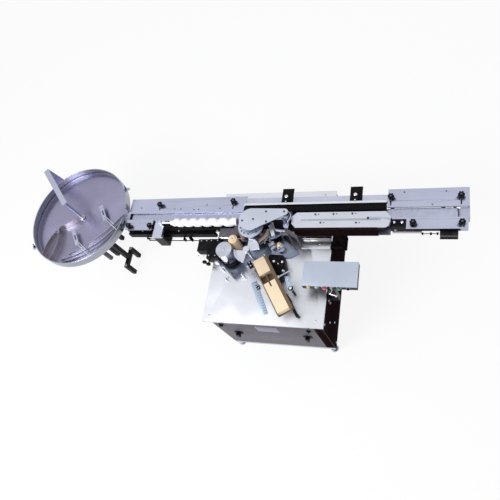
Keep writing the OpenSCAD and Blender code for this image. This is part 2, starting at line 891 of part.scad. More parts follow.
module feed_screw() {
    rings = 78;
    sides = 24;
    step = (screw_x1 - screw_x0) / rings;
    points = [for (i = [0 : rings], k = [0 : sides - 1]) let (
        x = screw_x0 + i * step,
        turn = k * 360 / sides,
        r = screw_radius(x, turn)
    ) [x, screw_y + r * cos(turn), screw_z + r * sin(turn)]];
    walls = [for (i = [0 : rings - 1], k = [0 : sides - 1]) let (
        a = i * sides + k,
        b = i * sides + (k + 1) % sides,
        c = a + sides,
        d = b + sides
    ) each [[a, c, b], [b, c, d]]];
    caps = [[for (k = [0 : sides - 1]) k], [for (k = [sides - 1 : -1 : 0]) rings * sides + k]];
    color("white") machine() {
        polyhedron(points, concat(walls, caps));
        rod_x([spindle_x0, screw_y, screw_z], spindle_r, spindle_x1 - spindle_x0);
    }
}

module screw_drive() {
    x1 = screw_drive_x[1];
    pillar_x = x1 + pillar_gap;
    color("darkgray") machine() difference() {
        union() {
            block([screw_drive_x[0], screw_drive_y0, table_z],
                  [x1, channel_y0, table_z + screw_drive_h]);
            block([x1 - drive_link_w, screw_drive_y0, table_z + screw_drive_h], [x1, channel_y0, channel_top]);
            block([x1 - drive_link_w, screw_drive_y0, channel_top],
                  [pillar_x + pillar_t, screw_y + bearing_w / 2, guide_top]);
            block([pillar_x, screw_y - bearing_w / 2, guide_top],
                  [pillar_x + pillar_t, screw_y + bearing_w / 2, screw_z + bearing_rise]);
        }
        rod_x([pillar_x - over, screw_y, screw_z], spindle_r + fit, over + bearing_l * 2);
    }
}

module screw_gearbox() {
    color([0.06, 0.06, 0.07]) machine() {
        block([gearbox_b_x[0], gearbox_b_y[0], table_z], [gearbox_b_x[1], gearbox_b_y[1], table_z + gearbox_b_h]);
        block([gearbox_a_x, gearbox_a_y[0], table_z + gearbox_b_h - gearbox_a_h],
              [gearbox_b_x[0], gearbox_a_y[1], table_z + gearbox_b_h]);
        for (y = [gearbox_b_y[0] + gearbox_b_h * 0.2, gearbox_b_y[1] - gearbox_b_h * 0.2])
            rod_z([gearbox_b_x[0] + gearbox_b_h * 0.2, y, table_z + gearbox_b_h], cap_screw_r, cap_screw_h);
    }
}

// Wrap station

module pressure_pad() {
    back = pad_y + pad_d;
    color([0.1, 0.09, 0.1]) machine() {
        block([pad_x0, pad_y, pad_z], [pad_x0 + pad_l, back, pad_z + pad_h]);
        for (x = pad_rod_places) rod_y([x, back, pad_rod_z], pad_rod_r, pad_rod_l);
    }
}

module pad_brackets() {
    color([0.1, 0.1, 0.12]) machine() for (x = pad_rod_places) difference() {
        union() {
            block([x - pad_bracket_w / 2, pad_bracket_y[0], channel_top],
                  [x + pad_bracket_w / 2, pad_bracket_y[1], channel_top + sheet_t * 2]);
            block([x - pad_bracket_w * 0.2, pad_bracket_y[0], channel_top + sheet_t * 2],
                  [x + pad_bracket_w * 0.2, pad_bracket_y[0] + pad_bracket_w * 0.6, channel_top + pad_bracket_h]);
            rod_z([x, pad_bracket_y[0] + pad_bracket_w * 0.3, channel_top + pad_bracket_h], cap_screw_r, cap_screw_h);
        }
        rod_y([x, pad_bracket_y[0] - over, pad_rod_z], pad_rod_r + fit, pad_rod_l + 2 * over);
    }
    color("gainsboro") machine() difference() {
        block([pad_x0, pad_rail_y, channel_top], [pad_x0 + pad_l, pad_rail_y + pad_rail_w, channel_top + pad_bracket_h]);
        for (x = pad_rod_places) rod_y([x, pad_rail_y - over, pad_rod_z], pad_rod_r + fit, pad_rail_w + 2 * over);
    }
}

module belt_plate_2d(inset) {
    x0 = belt_plate_x[0] + inset;
    x1 = belt_plate_x[1] - inset;
    y0 = belt_plate_y[0] + inset;
    y1 = belt_plate_y[1] - inset;
    c = belt_chamfer;
    polygon([[x0 + c, y0], [x1 - c, y0], [x1 - c * 0.3, y0 + c * 0.5], [x1, y1 - c * 1.4], [x1 - c, y1],
             [x0 + c, y1], [x0, y1 - c], [x0, y0 + c]]);
}

module belt_top_plate() {
    color("whitesmoke") machine() difference() {
        translate([0, 0, belt_top_z]) linear_extrude(belt_plate_t) belt_plate_2d(0);
        for (x = [pulley_x, pulley_x + pulley_span])
            rod_z([x, belt_axis_y, belt_top_z - over], belt_shaft_r + fit, belt_plate_t + 2 * over);
    }
}

module belt_base_plate() {
    color("lightsteelblue") machine() difference() {
        union() {
            translate([0, 0, channel_top]) linear_extrude(belt_base_t) intersection() {
                belt_plate_2d(sheet_t);
                translate([belt_plate_x[0], channel_y0]) square([belt_plate_x[1], belt_plate_y[1] - channel_y0]);
            }
            for (x = belt_post_places) rod_z([x, belt_axis_y, channel_top], belt_post_r, belt_top_z - channel_top);
            block([guard_x[1], guard_bracket_y, guard_bracket_z],
                  [guard_x[1] + guard_bracket_l, channel_y0, guard_bracket_z + belt_base_t]);
        }
        for (x = [pulley_x, pulley_x + pulley_span])
            rod_z([x, belt_axis_y, channel_top - over], belt_shaft_r + fit, belt_base_t + 2 * over);
    }
}

module belt_guard() {
    color([0.17, 0.11, 0.1]) machine() {
        block([guard_x[0], guard_y, guard_z], [guard_x[1], guard_y + guard_t, belt_top_z - air]);
        for (x = [guard_x[0], (guard_x[0] + guard_x[1]) / 2, guard_x[1] - clip_w])
            block([x, guard_y + guard_t, guard_z], [x + clip_w, channel_y0, guard_z + clip_w * 2]);
    }
}

module press_belt() {
    inner = pulley_r + belt_air;
    outer = inner + belt_t;
    module run_2d(r) { link_2d([pulley_x, belt_axis_y], r, [pulley_x + pulley_span, belt_axis_y], r); }
    color([0.16, 0.12, 0.1]) machine() translate([0, 0, belt_z0]) linear_extrude(belt_h) difference() {
        run_2d(outer);
        run_2d(inner);
    }
}

module belt_pulley(x, foot) {
    color("silver") machine() {
        rod_z([x, belt_axis_y, belt_z0], pulley_r, belt_h);
        rod_z([x, belt_axis_y, foot], belt_shaft_r, belt_top_z + belt_plate_t + belt_air - foot);
    }
}

module belt_drive_pulley() { belt_pulley(pulley_x, belt_shaft_foot); }

module belt_idler_pulley() { belt_pulley(pulley_x + pulley_span, channel_top + air); }

// Turntable

module turn() { machine() translate([turn_x, turn_y, 0]) children(); }

module turntable_disc() {
    color("thistle") turn() {
        rod_z([0, 0, disc_z - disc_t], disc_r, disc_t);
        rod_z([0, 0, disc_z - disc_t - turn_hub_h], turn_shaft_r * 3, turn_hub_h);
        rod_z([0, 0, disc_z - turn_shaft_l], turn_shaft_r, turn_shaft_l);
    }
}

module turntable_rim() {
    top = disc_z + rim_rise;
    color("lightslategray") turn() difference() {
        rotate_extrude($fn = 96) {
            translate([rim_r - rim_t, rim_z0]) square([rim_t, top - rim_z0 - bead_r]);
            translate([rim_r - bead_r, top - bead_r]) circle(r = bead_r);
            translate([rim_r - rim_flange, rim_z0]) square([rim_flange - rim_t, rim_t]);
        }
        block([rim_r * 0.8, lane_y0 - turn_y, transfer_z0], [rim_r + over, lane_y1 - turn_y + guide_flange, top + over]);
    }
}

// What lies inside the rim's wall
module inside_rim() {
    intersection() {
        children();
        rod_z([turn_x, turn_y, disc_z - over], rim_r - rim_t, post_rise);
    }
}

module turntable_post() {
    arm_z = disc_z + post_rise;
    reach = rim_r - bead_r + arm_t / 2;
    color("lavender") turn() {
        rod_z([0, 0, disc_z + post_gap], post_r, post_rise - post_gap);
        rotate(arm_angle) {
            block([-post_r, -arm_w / 2, arm_z], [reach, arm_w / 2, arm_z + arm_t]);
            translate([reach - arm_t, 0, 0]) rotate([90, 0, 90]) linear_extrude(arm_t)
                polygon([[-upright_foot_w / 2, disc_z + rim_rise], [upright_foot_w / 2, disc_z + rim_rise],
                         [arm_w / 2, arm_z], [-arm_w / 2, arm_z]]);
        }
    }
}

module diverter_strip() {
    z = disc_z + strip_gap;
    color("tan") machine() difference() {
        inside_rim() {
            bow_strip(strip_a[0], strip_a[1], strip_a_bow, strip_t, z, strip_h);
            bow_strip(strip_b[0], strip_b[1], strip_b_bow, strip_t, z, strip_h);
            bow_strip(strip_c[0], strip_c[1], strip_c_bow, strip_t, z, strip_h);
        }
        rod_z([turn_x, turn_y, z - over], post_r, strip_h + 2 * over);
    }
}

// The rotary guides and the rods that hold them
module guide_rails() {
    z = disc_z + rail_gap;
    color("lightsteelblue") machine() {
        bow_strip(rail_inner[0], rail_inner[1], rail_inner_bow, strip_t, z, rail_h);
        bow_strip(rail_outer[0], rail_outer[1], rail_outer_bow, strip_t, z, rail_h);
        bow_strip(rail_low[0], rail_low[1], rail_low_bow, strip_t, z, rail_h);
        inside_rim() for (at = [slot_plate_a, slot_plate_b], i = [0, 1])
            translate([at[0], at[1], 0]) rotate(slot_plate_turn)
                translate([slot_plate_l * bracket_rods_share[i], 0, rod_z])
                    rotate(bracket_rod_turn - slot_plate_turn) rod_x([0, 0, 0], rod_r, bracket_rod_l[i]);
    }
}

// The slotted plates that lie on the rods, and the clamps on the rim
module rail_brackets() {
    color("lavender") machine() for (at = [slot_plate_a, slot_plate_b])
        translate([at[0], at[1], rod_z + rod_r]) rotate(slot_plate_turn) linear_extrude(slot_plate_t)
            difference() {
                square([slot_plate_l, slot_plate_w], center = true);
                square([slot_plate_l * 0.3, slot_plate_w * 0.25], center = true);
            }
    color([0.15, 0.15, 0.17]) turn() for (a = clip_turn) rotate(a) {
        z = disc_z + rim_rise - clip_drop;
        block([rim_r, -clip_w, z], [rim_r + clip_l, clip_w, z + clip_h]);
        rod_z([rim_r + clip_l / 2, 0, z + clip_h], clip_stud_r, clip_stud_h);
    }
}

module turntable_stand() {
    arm_end = rim_r - rim_flange - rim_t;
    color([0.14, 0.12, 0.12]) machine() {
        for (p = stand_places) {
            foot_y = (stand_bar_l - stand_leg_w) / 2;
            for (y = [p[1] - foot_y, p[1] + foot_y])
                block([p[0] - stand_leg_w / 2, y - stand_leg_w / 2, 0],
                      [p[0] + stand_leg_w / 2, y + stand_leg_w / 2, stand_bar_z]);
            block([p[0] - stand_bar_w / 2, p[1] - stand_bar_l / 2, stand_bar_z],
                  [p[0] + stand_bar_w / 2, p[1] + stand_bar_l / 2, stand_bar_z + stand_bar_h]);
            block([p[0] - stand_post_w / 2, p[1] - stand_post_w / 2, stand_bar_z + stand_bar_h],
                  [p[0] + stand_post_w / 2, p[1] + stand_post_w / 2, arm_bar_z]);
        }
    }
    color([0.14, 0.12, 0.12]) turn() difference() {
        union() {
            rod_z([0, 0, beam_z], turn_shaft_r * 3, beam_top - beam_z);
            for (a = rim_arm_turns) rotate(a) {
                block([0, -arm_bar_w / 2, arm_bar_z], [arm_end, arm_bar_w / 2, beam_top]);
                block([arm_end - arm_tongue_l / 2, -arm_bar_w / 2, rim_z0 - arm_tongue_h],
                      [arm_end + arm_tongue_l / 2, arm_bar_w / 2, rim_z0]);
            }
        }
        rod_z([0, 0, beam_z - over], turn_shaft_r + fit, beam_top - beam_z + 2 * over);
    }
}

// Motor under the table's rim with a drive case that runs to the shaft
module turntable_motor() {
    run = motor_tube_place - [turn_x, turn_y];
    z = beam_z - motor_case_h;
    color("darkgray") turn() rotate(atan2(run[1], run[0])) {
        translate([0, 0, z]) linear_extrude(motor_case_h) difference() {
            union() {
                circle(r = motor_case_r[0]);
                translate([norm(run), 0]) circle(r = motor_case_r[1]);
                translate([0, -motor_case_w / 2]) square([norm(run), motor_case_w]);
            }
            circle(r = turn_shaft_r + fit);
        }
        rod_z([norm(run), 0, motor_tube_z0], motor_tube_r, z - motor_tube_z0);
    }
}

// Label head

module head_base() {
    color("lightsteelblue") machine() difference() {
        union() {
            translate([0, 0, table_z]) linear_extrude(head_base_t) polygon(head_base_outline);
            translate([0, 0, deck_z]) linear_extrude(deck_t) polygon(deck_outline);
            for (p = deck_column_places)
                rod_z([p[0], p[1], table_z + head_base_t], column_r, deck_z - table_z - head_base_t);
        }
        rod_z([drum_x, drum_y, table_z - over], shaft_r + fit, head_base_t + 2 * over);
        rod_z([drum_x, drum_y, deck_z - over], shaft_r + fit, deck_t + 2 * over);
        rod_z([picker_x, picker_y, table_z], picker_shaft_r + fit, head_base_t + over);
        rod_z([roller_x, roller_y, table_z], roller_shaft_r + fit, head_base_t + over);
        rod_z([glue_x, glue_y, table_z], glue_shaft_r + fit, head_base_t + over);
    }
}

module head_top_plate() {
    color("whitesmoke") machine() difference() {
        union() {
            translate([0, 0, teardrop_z]) linear_extrude(teardrop_t)
                link_2d(teardrop_big, teardrop_big_r, teardrop_small, teardrop_small_r);
            for (p = column_places) {
                rod_z([p[0], p[1], channel_top], column_r, teardrop_z - channel_top);
                rod_z([p[0], p[1], channel_top], column_foot / 2, column_r);
            }
        }
        rod_z([drum_x, drum_y, teardrop_z - over], shaft_r + fit, teardrop_t + 2 * over);
    }
}

module drum_pad(a) {
    translate([0, 0, drum_pad_z]) rotate(a - drum_pad_span / 2) rotate_extrude(angle = drum_pad_span)
        translate([drum_pad_r - drum_pad_t, 0]) square([drum_pad_t, drum_pad_h]);
    rotate(a) block([drum_core_r * 0.9, -drum_arm_w / 2, drum_pad_z + drum_arm_h / 2],
                    [drum_pad_r - drum_pad_t * 0.8, drum_arm_w / 2, drum_pad_z + drum_arm_h * 1.5]);
}

module gripper_drum() {
    color("gainsboro") machine() translate([drum_x, drum_y, 0]) {
        rod_z([0, 0, drum_top_z - drum_disc_t], drum_r, drum_disc_t);
        rod_z([0, 0, drum_pad_z], drum_core_r, drum_top_z - drum_disc_t - drum_pad_z);
        rod_z([0, 0, drum_shaft_foot], shaft_r, teardrop_z + teardrop_t - drum_shaft_foot);
        for (a = drum_pad_turns) drum_pad(a);
    }
}

module glue_roller() {
    color([0.94, 0.84, 0.7]) machine() translate([roller_x, roller_y, 0]) {
        rod_z([0, 0, roller_z], glue_roller_r, roller_h);
        rod_z([0, 0, roller_z + roller_h], roller_boss_r, roller_boss_h);
        rod_z([0, 0, table_z + seam], roller_shaft_r, roller_z - table_z - seam);
    }
}

module glue_drum() {
    color("silver") machine() translate([glue_x, glue_y, 0]) {
        rod_z([0, 0, glue_z], glue_drum_r, glue_h);
        rod_z([0, 0, table_z + seam], glue_shaft_r, glue_z - table_z - seam);
    }
}

// One pallet of the picker: a sector web with a raised rim that takes the glue and the label
module pallet(a) {
    rotate(a - pallet_span / 2) {
        rotate_extrude(angle = pallet_span) {
            square([picker_r - pallet_rim_t, pallet_web_t]);
            translate([picker_r - pallet_rim_t, 0]) square([pallet_rim_t, picker_h]);
        }
    }
}

module picker_rotor() {
    color("whitesmoke") machine() translate([picker_x, picker_y, 0]) {
        translate([0, 0, picker_z]) for (a = pallet_turns) pallet(a);
        rod_z([0, 0, picker_z], picker_hub_r, picker_hub_h);
        rod_z([0, 0, table_z + seam], picker_shaft_r, picker_z - table_z - seam);
    }
}

module air_valve(at, lift) {
    z = table_z + head_base_t;
    translate([at[0], at[1], 0]) rotate(valve_turn) {
        rod_z([0, 0, z], valve_r, valve_h);
        translate([0, 0, z + valve_h + valve_block[2] / 2]) cube(valve_block, center = true);
        rod_z([0, valve_block[1] * 0.2, z + valve_h + valve_block[2]], fitting_r, fitting_h * lift);
    }
}

module air_valves() {
    color("lightgray") machine() {
        air_valve(valve_a, 0.4);
        air_valve(valve_b, 1);
    }
}

module cam_box() {
    top = table_z + cam_h;
    color([0.07, 0.06, 0.06]) machine() {
        translate([0, 0, table_z]) linear_extrude(cam_h) polygon(cam_outline);
        for (p = cam_caps) rod_z([p[0], p[1], top], cam_cap_r, cam_cap_h);
        rod_z([cam_knob[0], cam_knob[1], top], cam_cap_r * 0.8, cam_cap_h * 3);
    }
}

module wipe_arm() {
    color("gray") machine() {
        translate([0, 0, arm_link_z]) linear_extrude(arm_link_t) for (i = [0 : len(arm_knots) - 2])
            link_2d(arm_knots[i], arm_link_w / 2, arm_knots[i + 1], arm_link_w / 2 - fit);
        for (i = [1 : len(arm_knots) - 1])
            rod_z([arm_knots[i][0], arm_knots[i][1], table_z], arm_bolt_r, arm_link_z + arm_link_t + arm_bolt_h - table_z);
    }
}

// The glue pan under the rollers and its splash walls
module glue_tray() {
    color([0.6, 0.58, 0.6]) machine() {
        translate([0, 0, table_z + head_base_t]) linear_extrude(tray_floor_t) difference() {
            polygon(tray_outline);
            translate([roller_x, roller_y]) circle(r = roller_shaft_r * 1.4);
            translate([glue_x, glue_y]) circle(r = glue_shaft_r * 1.4);
        }
        for (i = [0, 1]) bow_strip(tray_corners[i], tray_corners[i + 1], 0, tray_wall_t, table_z, tray_wall_h);
    }
}

// Magazine

module magazine() {
    machine() translate([magazine_front[0], magazine_front[1], 0]) rotate(magazine_angle - 90) children();
}

module magazine_channel() {
    inner = label_w / 2 + magazine_gap;
    z0 = magazine_floor_z - magazine_floor_t;
    z1 = magazine_floor_z + side_h;
    color([0.45, 0.33, 0.22]) magazine() difference() {
        union() {
            block([0, -inner - side_left_t, z0], [magazine_l, inner + side_right_t, magazine_floor_z]);
            block([0, -inner - side_left_t, magazine_floor_z], [magazine_l, -inner, z1]);
            block([0, inner, magazine_floor_z], [magazine_l, inner + side_right_t, z1]);
            block([stack_l, -divider_t / 2, magazine_floor_z],
                  [divider_l, divider_t / 2, magazine_floor_z + divider_h]);
            block([pedestal_x, -pedestal_size[1] / 2, table_z],
                  [pedestal_x + pedestal_size[0], pedestal_size[1] / 2, z0]);
        }
    }
}

module label_stack() {
    color("bisque") magazine()
        block([0, -label_w / 2, magazine_floor_z], [stack_l, label_w / 2, magazine_floor_z + stack_h]);
}

module label_pusher() {
    x0 = stack_l + recess_l + pusher_travel;
    z0 = magazine_floor_z + air;
    z1 = magazine_floor_z + pusher_h;
    color("wheat") magazine() {
        block([x0 + pusher_finger_l, -label_w / 2, z0], [magazine_l - pusher_end, label_w / 2, z1]);
        block([x0, -label_w / 2, z0], [x0 + pusher_finger_l, -divider_t / 2 - divider_gap, z1]);
        block([x0, divider_t / 2 + divider_gap, z0], [x0 + pusher_finger_l, label_w / 2, z1]);
    }
}

module clamp_screw() {
    inner = label_w / 2 + magazine_gap + side_right_t;
    color("silver") magazine() {
        rod_y([clamp_x, inner + air, clamp_z], clamp_boss_r, clamp_boss_r);
        rod_y([clamp_x, inner + air, clamp_z], clamp_r, clamp_l);
        rod_x([clamp_x - clamp_bar_l / 2, inner + clamp_l - clamp_r, clamp_z], clamp_bar_r, clamp_bar_l);
    }
}

// The scale plate on the table beside the magazine
module magazine_scale() {
    step = scale_l / scale_mark_count;
    color("silver") machine() translate([scale_place[0], scale_place[1], table_z]) rotate(scale_turn) difference() {
        cube([scale_l, scale_w, scale_t]);
        for (i = [0 : scale_mark_count - 1])
            translate([step * (i + 0.5), scale_w - scale_mark_size[1], scale_t - scale_mark_size[2]])
                cube([scale_mark_size[0], scale_mark_size[1] * 2, scale_mark_size[2] * 2]);
    }
}

// Control box

module control_box() {
    x0 = control_x - control_w / 2;
    y0 = control_y - control_d / 2;
    z0 = control_z1 - control_h;
    stems = [red_x, selector_x, green_x, speed_x];
    color([0.16, 0.15, 0.16]) machine() difference() {
        union() {
            difference() {
                block([x0, y0, z0], [x0 + control_w, y0 + control_d, control_z1]);
                block([x0 + control_t, y0 + control_t, z0 + control_t],
                      [x0 + control_w - control_t, y0 + control_d - control_t, control_z1 - control_t]);
            }
            for (x = [yellow_x, white_x]) rod_y([x, y0 - lamp_h, button_z], lamp_r, lamp_h);
            block([control_post_x - post_tube / 2, control_post_y - post_tube / 2, post_plate_z],
                  [control_post_x + post_tube / 2, control_post_y + post_tube / 2, z0]);
            block([body_x1, control_post_y - post_tube / 2, post_plate_z],
                  [control_post_x, control_post_y + post_tube / 2, post_plate_z + post_tube]);
            block([body_x1, control_post_y - post_plate[1] / 2, post_plate_z - post_tube / 2],
                  [body_x1 + post_plate[0], control_post_y + post_plate[1] / 2, post_plate_z - post_tube / 2 + post_plate[2]]);
        }
        for (x = stems) rod_y([x, y0 - over, button_z], button_stem_r + fit, over + control_t * 1.5);
    }
}

// A push button: cap outside, stem through the front of the box
module push_button(x, r) {
    front = control_y - control_d / 2;
    machine() {
        rod_y([x, front - button_cap_h - button_travel - air, button_z], r, button_cap_h);
        rod_y([x, front - button_travel - air - button_cap_h / 2, button_z], button_stem_r,
              button_travel + button_cap_h / 2 + button_stem_l);
    }
}

module red_button() { color("crimson") push_button(red_x, red_r); }

module green_button() { color("seagreen") push_button(green_x, green_r); }

module selector_switch() {
    front = control_y - control_d / 2;
    color([0.85, 0.85, 0.88]) machine() {
        rod_y([selector_x, front - selector_h - air, button_z], selector_r, selector_h);
        rod_y([selector_x, front - air - selector_h / 2, button_z], button_stem_r, selector_h / 2 + button_stem_l);
        translate([selector_x, front - air - selector_h, button_z])
            block([-selector_grip[0] / 2, -selector_grip[1], -selector_grip[2] / 2],
                  [selector_grip[0] / 2, 0, selector_grip[2] / 2]);
    }
}

module speed_knob() {
    front = control_y - control_d / 2;
    color([0.08, 0.08, 0.08]) machine() {
        rod_y([speed_x, front - speed_h - air, button_z], speed_r, speed_h);
        rod_y([speed_x, front - air - speed_h / 2, button_z], button_stem_r, speed_h / 2 + button_stem_l);
    }
}

cabinet_frame();
cabinet_top();
front_panel();
cabinet_panels();
levelling_feet();
nameplate();
latch_left();
latch_right();
main_drive();
conveyor_frame();
conveyor_supports();
slat_chain();
drive_sprocket();
tail_sprocket();
conveyor_motor();
guide_rear_left();
guide_rear_right();
guide_front_left();
guide_front_right();
guide_knobs();
screw_tail_bracket();
feed_screw();
screw_drive();
screw_gearbox();
pressure_pad();
pad_brackets();
belt_top_plate();
belt_base_plate();
belt_guard();
press_belt();
belt_drive_pulley();
belt_idler_pulley();
turntable_disc();
turntable_rim();
turntable_post();
diverter_strip();
guide_rails();
rail_brackets();
turntable_stand();
turntable_motor();
head_base();
head_top_plate();
gripper_drum();
glue_roller();
glue_drum();
picker_rotor();
air_valves();
cam_box();
wipe_arm();
glue_tray();
magazine_channel();
label_stack();
label_pusher();
clamp_screw();
magazine_scale();
control_box();
red_button();
green_button();
selector_switch();
speed_knob();
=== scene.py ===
"""The looks of a wet glue labeling machine, built around its CAD frame."""
import json
import math

import bmesh
import bpy
from mathutils import Matrix, Vector


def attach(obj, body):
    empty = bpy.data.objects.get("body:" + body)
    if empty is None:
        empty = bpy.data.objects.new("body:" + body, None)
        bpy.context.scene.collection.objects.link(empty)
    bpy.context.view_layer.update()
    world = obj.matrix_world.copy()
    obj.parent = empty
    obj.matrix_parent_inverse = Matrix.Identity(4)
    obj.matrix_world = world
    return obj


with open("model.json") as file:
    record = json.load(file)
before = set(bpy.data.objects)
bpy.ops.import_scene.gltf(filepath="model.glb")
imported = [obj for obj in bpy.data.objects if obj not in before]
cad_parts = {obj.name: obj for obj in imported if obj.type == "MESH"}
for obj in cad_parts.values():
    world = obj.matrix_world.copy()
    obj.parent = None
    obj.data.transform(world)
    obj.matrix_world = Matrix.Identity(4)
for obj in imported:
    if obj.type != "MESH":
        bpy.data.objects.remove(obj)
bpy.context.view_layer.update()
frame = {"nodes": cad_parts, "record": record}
scene = bpy.context.scene

# Places below are in mm from the middle of the cabinet's top, measured up from the floor
MM = 0.001
HOME = Vector((450.5, -92.0, 0.0))
TABLE = 720.0
DECK = 841.5
DRUM = (-125, 165)
GLUE_DRUM = (-337, -51)
GLUE_ROLLER = (-275, 45)
PICKER = (-139, -46)
TURNTABLE = (-1948, 315)
SLOTTED_PLATES = ((-1693, 345), (-1928, 81))
SLOTTED_TURN = -57
# Angle in degrees from which two faces meet at a crease, and the width of the edge band for rubbed paint and
# painted glints, in metres
CREASE = 28
WEAR_AND_GLINT_EDGE = 0.002
# Share of its own light in what the camera sees of the floor, the floor's half width and drop in metres
FLOOR_GLOW = 0.86
FLOOR_HALF = 40
FLOOR_DROP = 0.0005
SKY_STRENGTH = 0.72


def linear(red, green, blue):
    """An sRGB colour of 0 to 255 as the linear colour that a shader takes."""
    out = []
    for part in (red, green, blue):
        c = part / 255.0
        out.append(c / 12.92 if c <= 0.04045 else ((c + 0.055) / 1.055) ** 2.4)
    return (out[0], out[1], out[2], 1.0)


# Camera
camera_data = bpy.data.cameras.new("camera")
camera_data.sensor_width = 36.0
camera_data.lens = 37.69
camera_data.clip_end = 100.0
camera = bpy.data.objects.new("camera", camera_data)
right = Vector((0.93599, 0.15355, -0.31677))
down = Vector((0.00865, -0.90962, -0.41535))
ahead = Vector((-0.35192, 0.38602, -0.85273))
turned = Matrix((right, -down, -ahead)).transposed().to_4x4()
turned.translation = Vector((1.8576, -1.8004, 4.5920))
camera.matrix_world = turned
scene.collection.objects.link(camera)
scene.camera = camera
scene.view_settings.view_transform = "Standard"


# Node helpers
def add(tree, kind, **values):
    """Adds a node. Each value is one of its settings or else one of its inputs."""
    node = tree.nodes.new(kind)
    for key, value in values.items():
        if hasattr(node, key):
            setattr(node, key, value)
        else:
            node.inputs[key].default_value = value
    return node


def noise(tree, where, scale, detail=4.0, along=(1, 1, 1), twist=0.0):
    """Noise whose pattern is stretched where along is small."""
    place = add(tree, "ShaderNodeMapping")
    place.inputs["Scale"].default_value = along
    tree.links.new(where, place.inputs["Vector"])
    node = add(tree, "ShaderNodeTexNoise", Scale=scale, Detail=detail, Distortion=twist)
    tree.links.new(place.outputs["Vector"], node.inputs["Vector"])
    return node.outputs[0]


def span(tree, value, low, high, out_low, out_high):
    """Maps low to out_low and high to out_high, and holds both ends."""
    node = add(tree, "ShaderNodeMapRange")
    for index, number in ((1, low), (2, high), (3, out_low), (4, out_high)):
        node.inputs[index].default_value = number
    tree.links.new(value, node.inputs[0])
    return node.outputs[0]


def plug(tree, value, socket):
    """Feeds a socket from another socket, or sets it to a number or colour."""
    if hasattr(value, "links"):
        tree.links.new(value, socket)
    else:
        socket.default_value = value


def mix(tree, factor, first, second, how="MIX"):
    """Mixes two colours."""
    node = add(tree, "ShaderNodeMix", data_type="RGBA", blend_type=how)
    plug(tree, factor, node.inputs[0])
    plug(tree, first, node.inputs[6])
    plug(tree, second, node.inputs[7])
    return node.outputs[2]


def math_node(tree, how, first, second=0.0):
    """One sum on two numbers."""
    node = add(tree, "ShaderNodeMath", operation=how)
    plug(tree, first, node.inputs[0])
    plug(tree, second, node.inputs[1])
    return node.outputs[0]


def scaled(colour, share):
    """A colour made lighter or darker."""
    return (min(colour[0] * share, 1.0), min(colour[1] * share, 1.0), min(colour[2] * share, 1.0), 1.0)


class Skin:
    """A material under way: its tree, its shader and the sockets that the layers work on."""

    def __init__(self, name, metal):
        self.made = bpy.data.materials.new(name)
        self.made.use_nodes = True
        self.tree = self.made.node_tree
        self.shader = self.tree.nodes["Principled BSDF"]
        self.shader.inputs["Metallic"].default_value = metal
        where = self.tree.nodes.new("ShaderNodeTexCoord")
        self.where = where.outputs["Object"]

    def height(self, axis):
        """One coordinate of the point, in metres."""
        parts = self.tree.nodes.new("ShaderNodeSeparateXYZ")
        self.tree.links.new(self.where, parts.inputs[0])
        return parts.outputs[axis]

    def inside(self, axis, low, high):
        """1 between two heights along an axis and 0 outside them."""
        value = self.height(axis)
        return math_node(self.tree, "MULTIPLY", math_node(self.tree, "GREATER_THAN", value, low),
                         math_node(self.tree, "LESS_THAN", value, high))

    def edges(self):
        """1 on an edge and 0 on a flat face: the band for rubbed paint and, on the magazine, a painted glint.
        """
        bent = add(self.tree, "ShaderNodeBevel", samples=4)
        bent.inputs["Radius"].default_value = WEAR_AND_GLINT_EDGE
        flat = self.tree.nodes.new("ShaderNodeNewGeometry")
        dot = add(self.tree, "ShaderNodeVectorMath", operation="DOT_PRODUCT")
        self.tree.links.new(bent.outputs[0], dot.inputs[0])
        self.tree.links.new(flat.outputs["True Normal"], dot.inputs[1])
        return span(self.tree, dot.outputs["Value"], 0.78, 0.985, 1.0, 0.0)


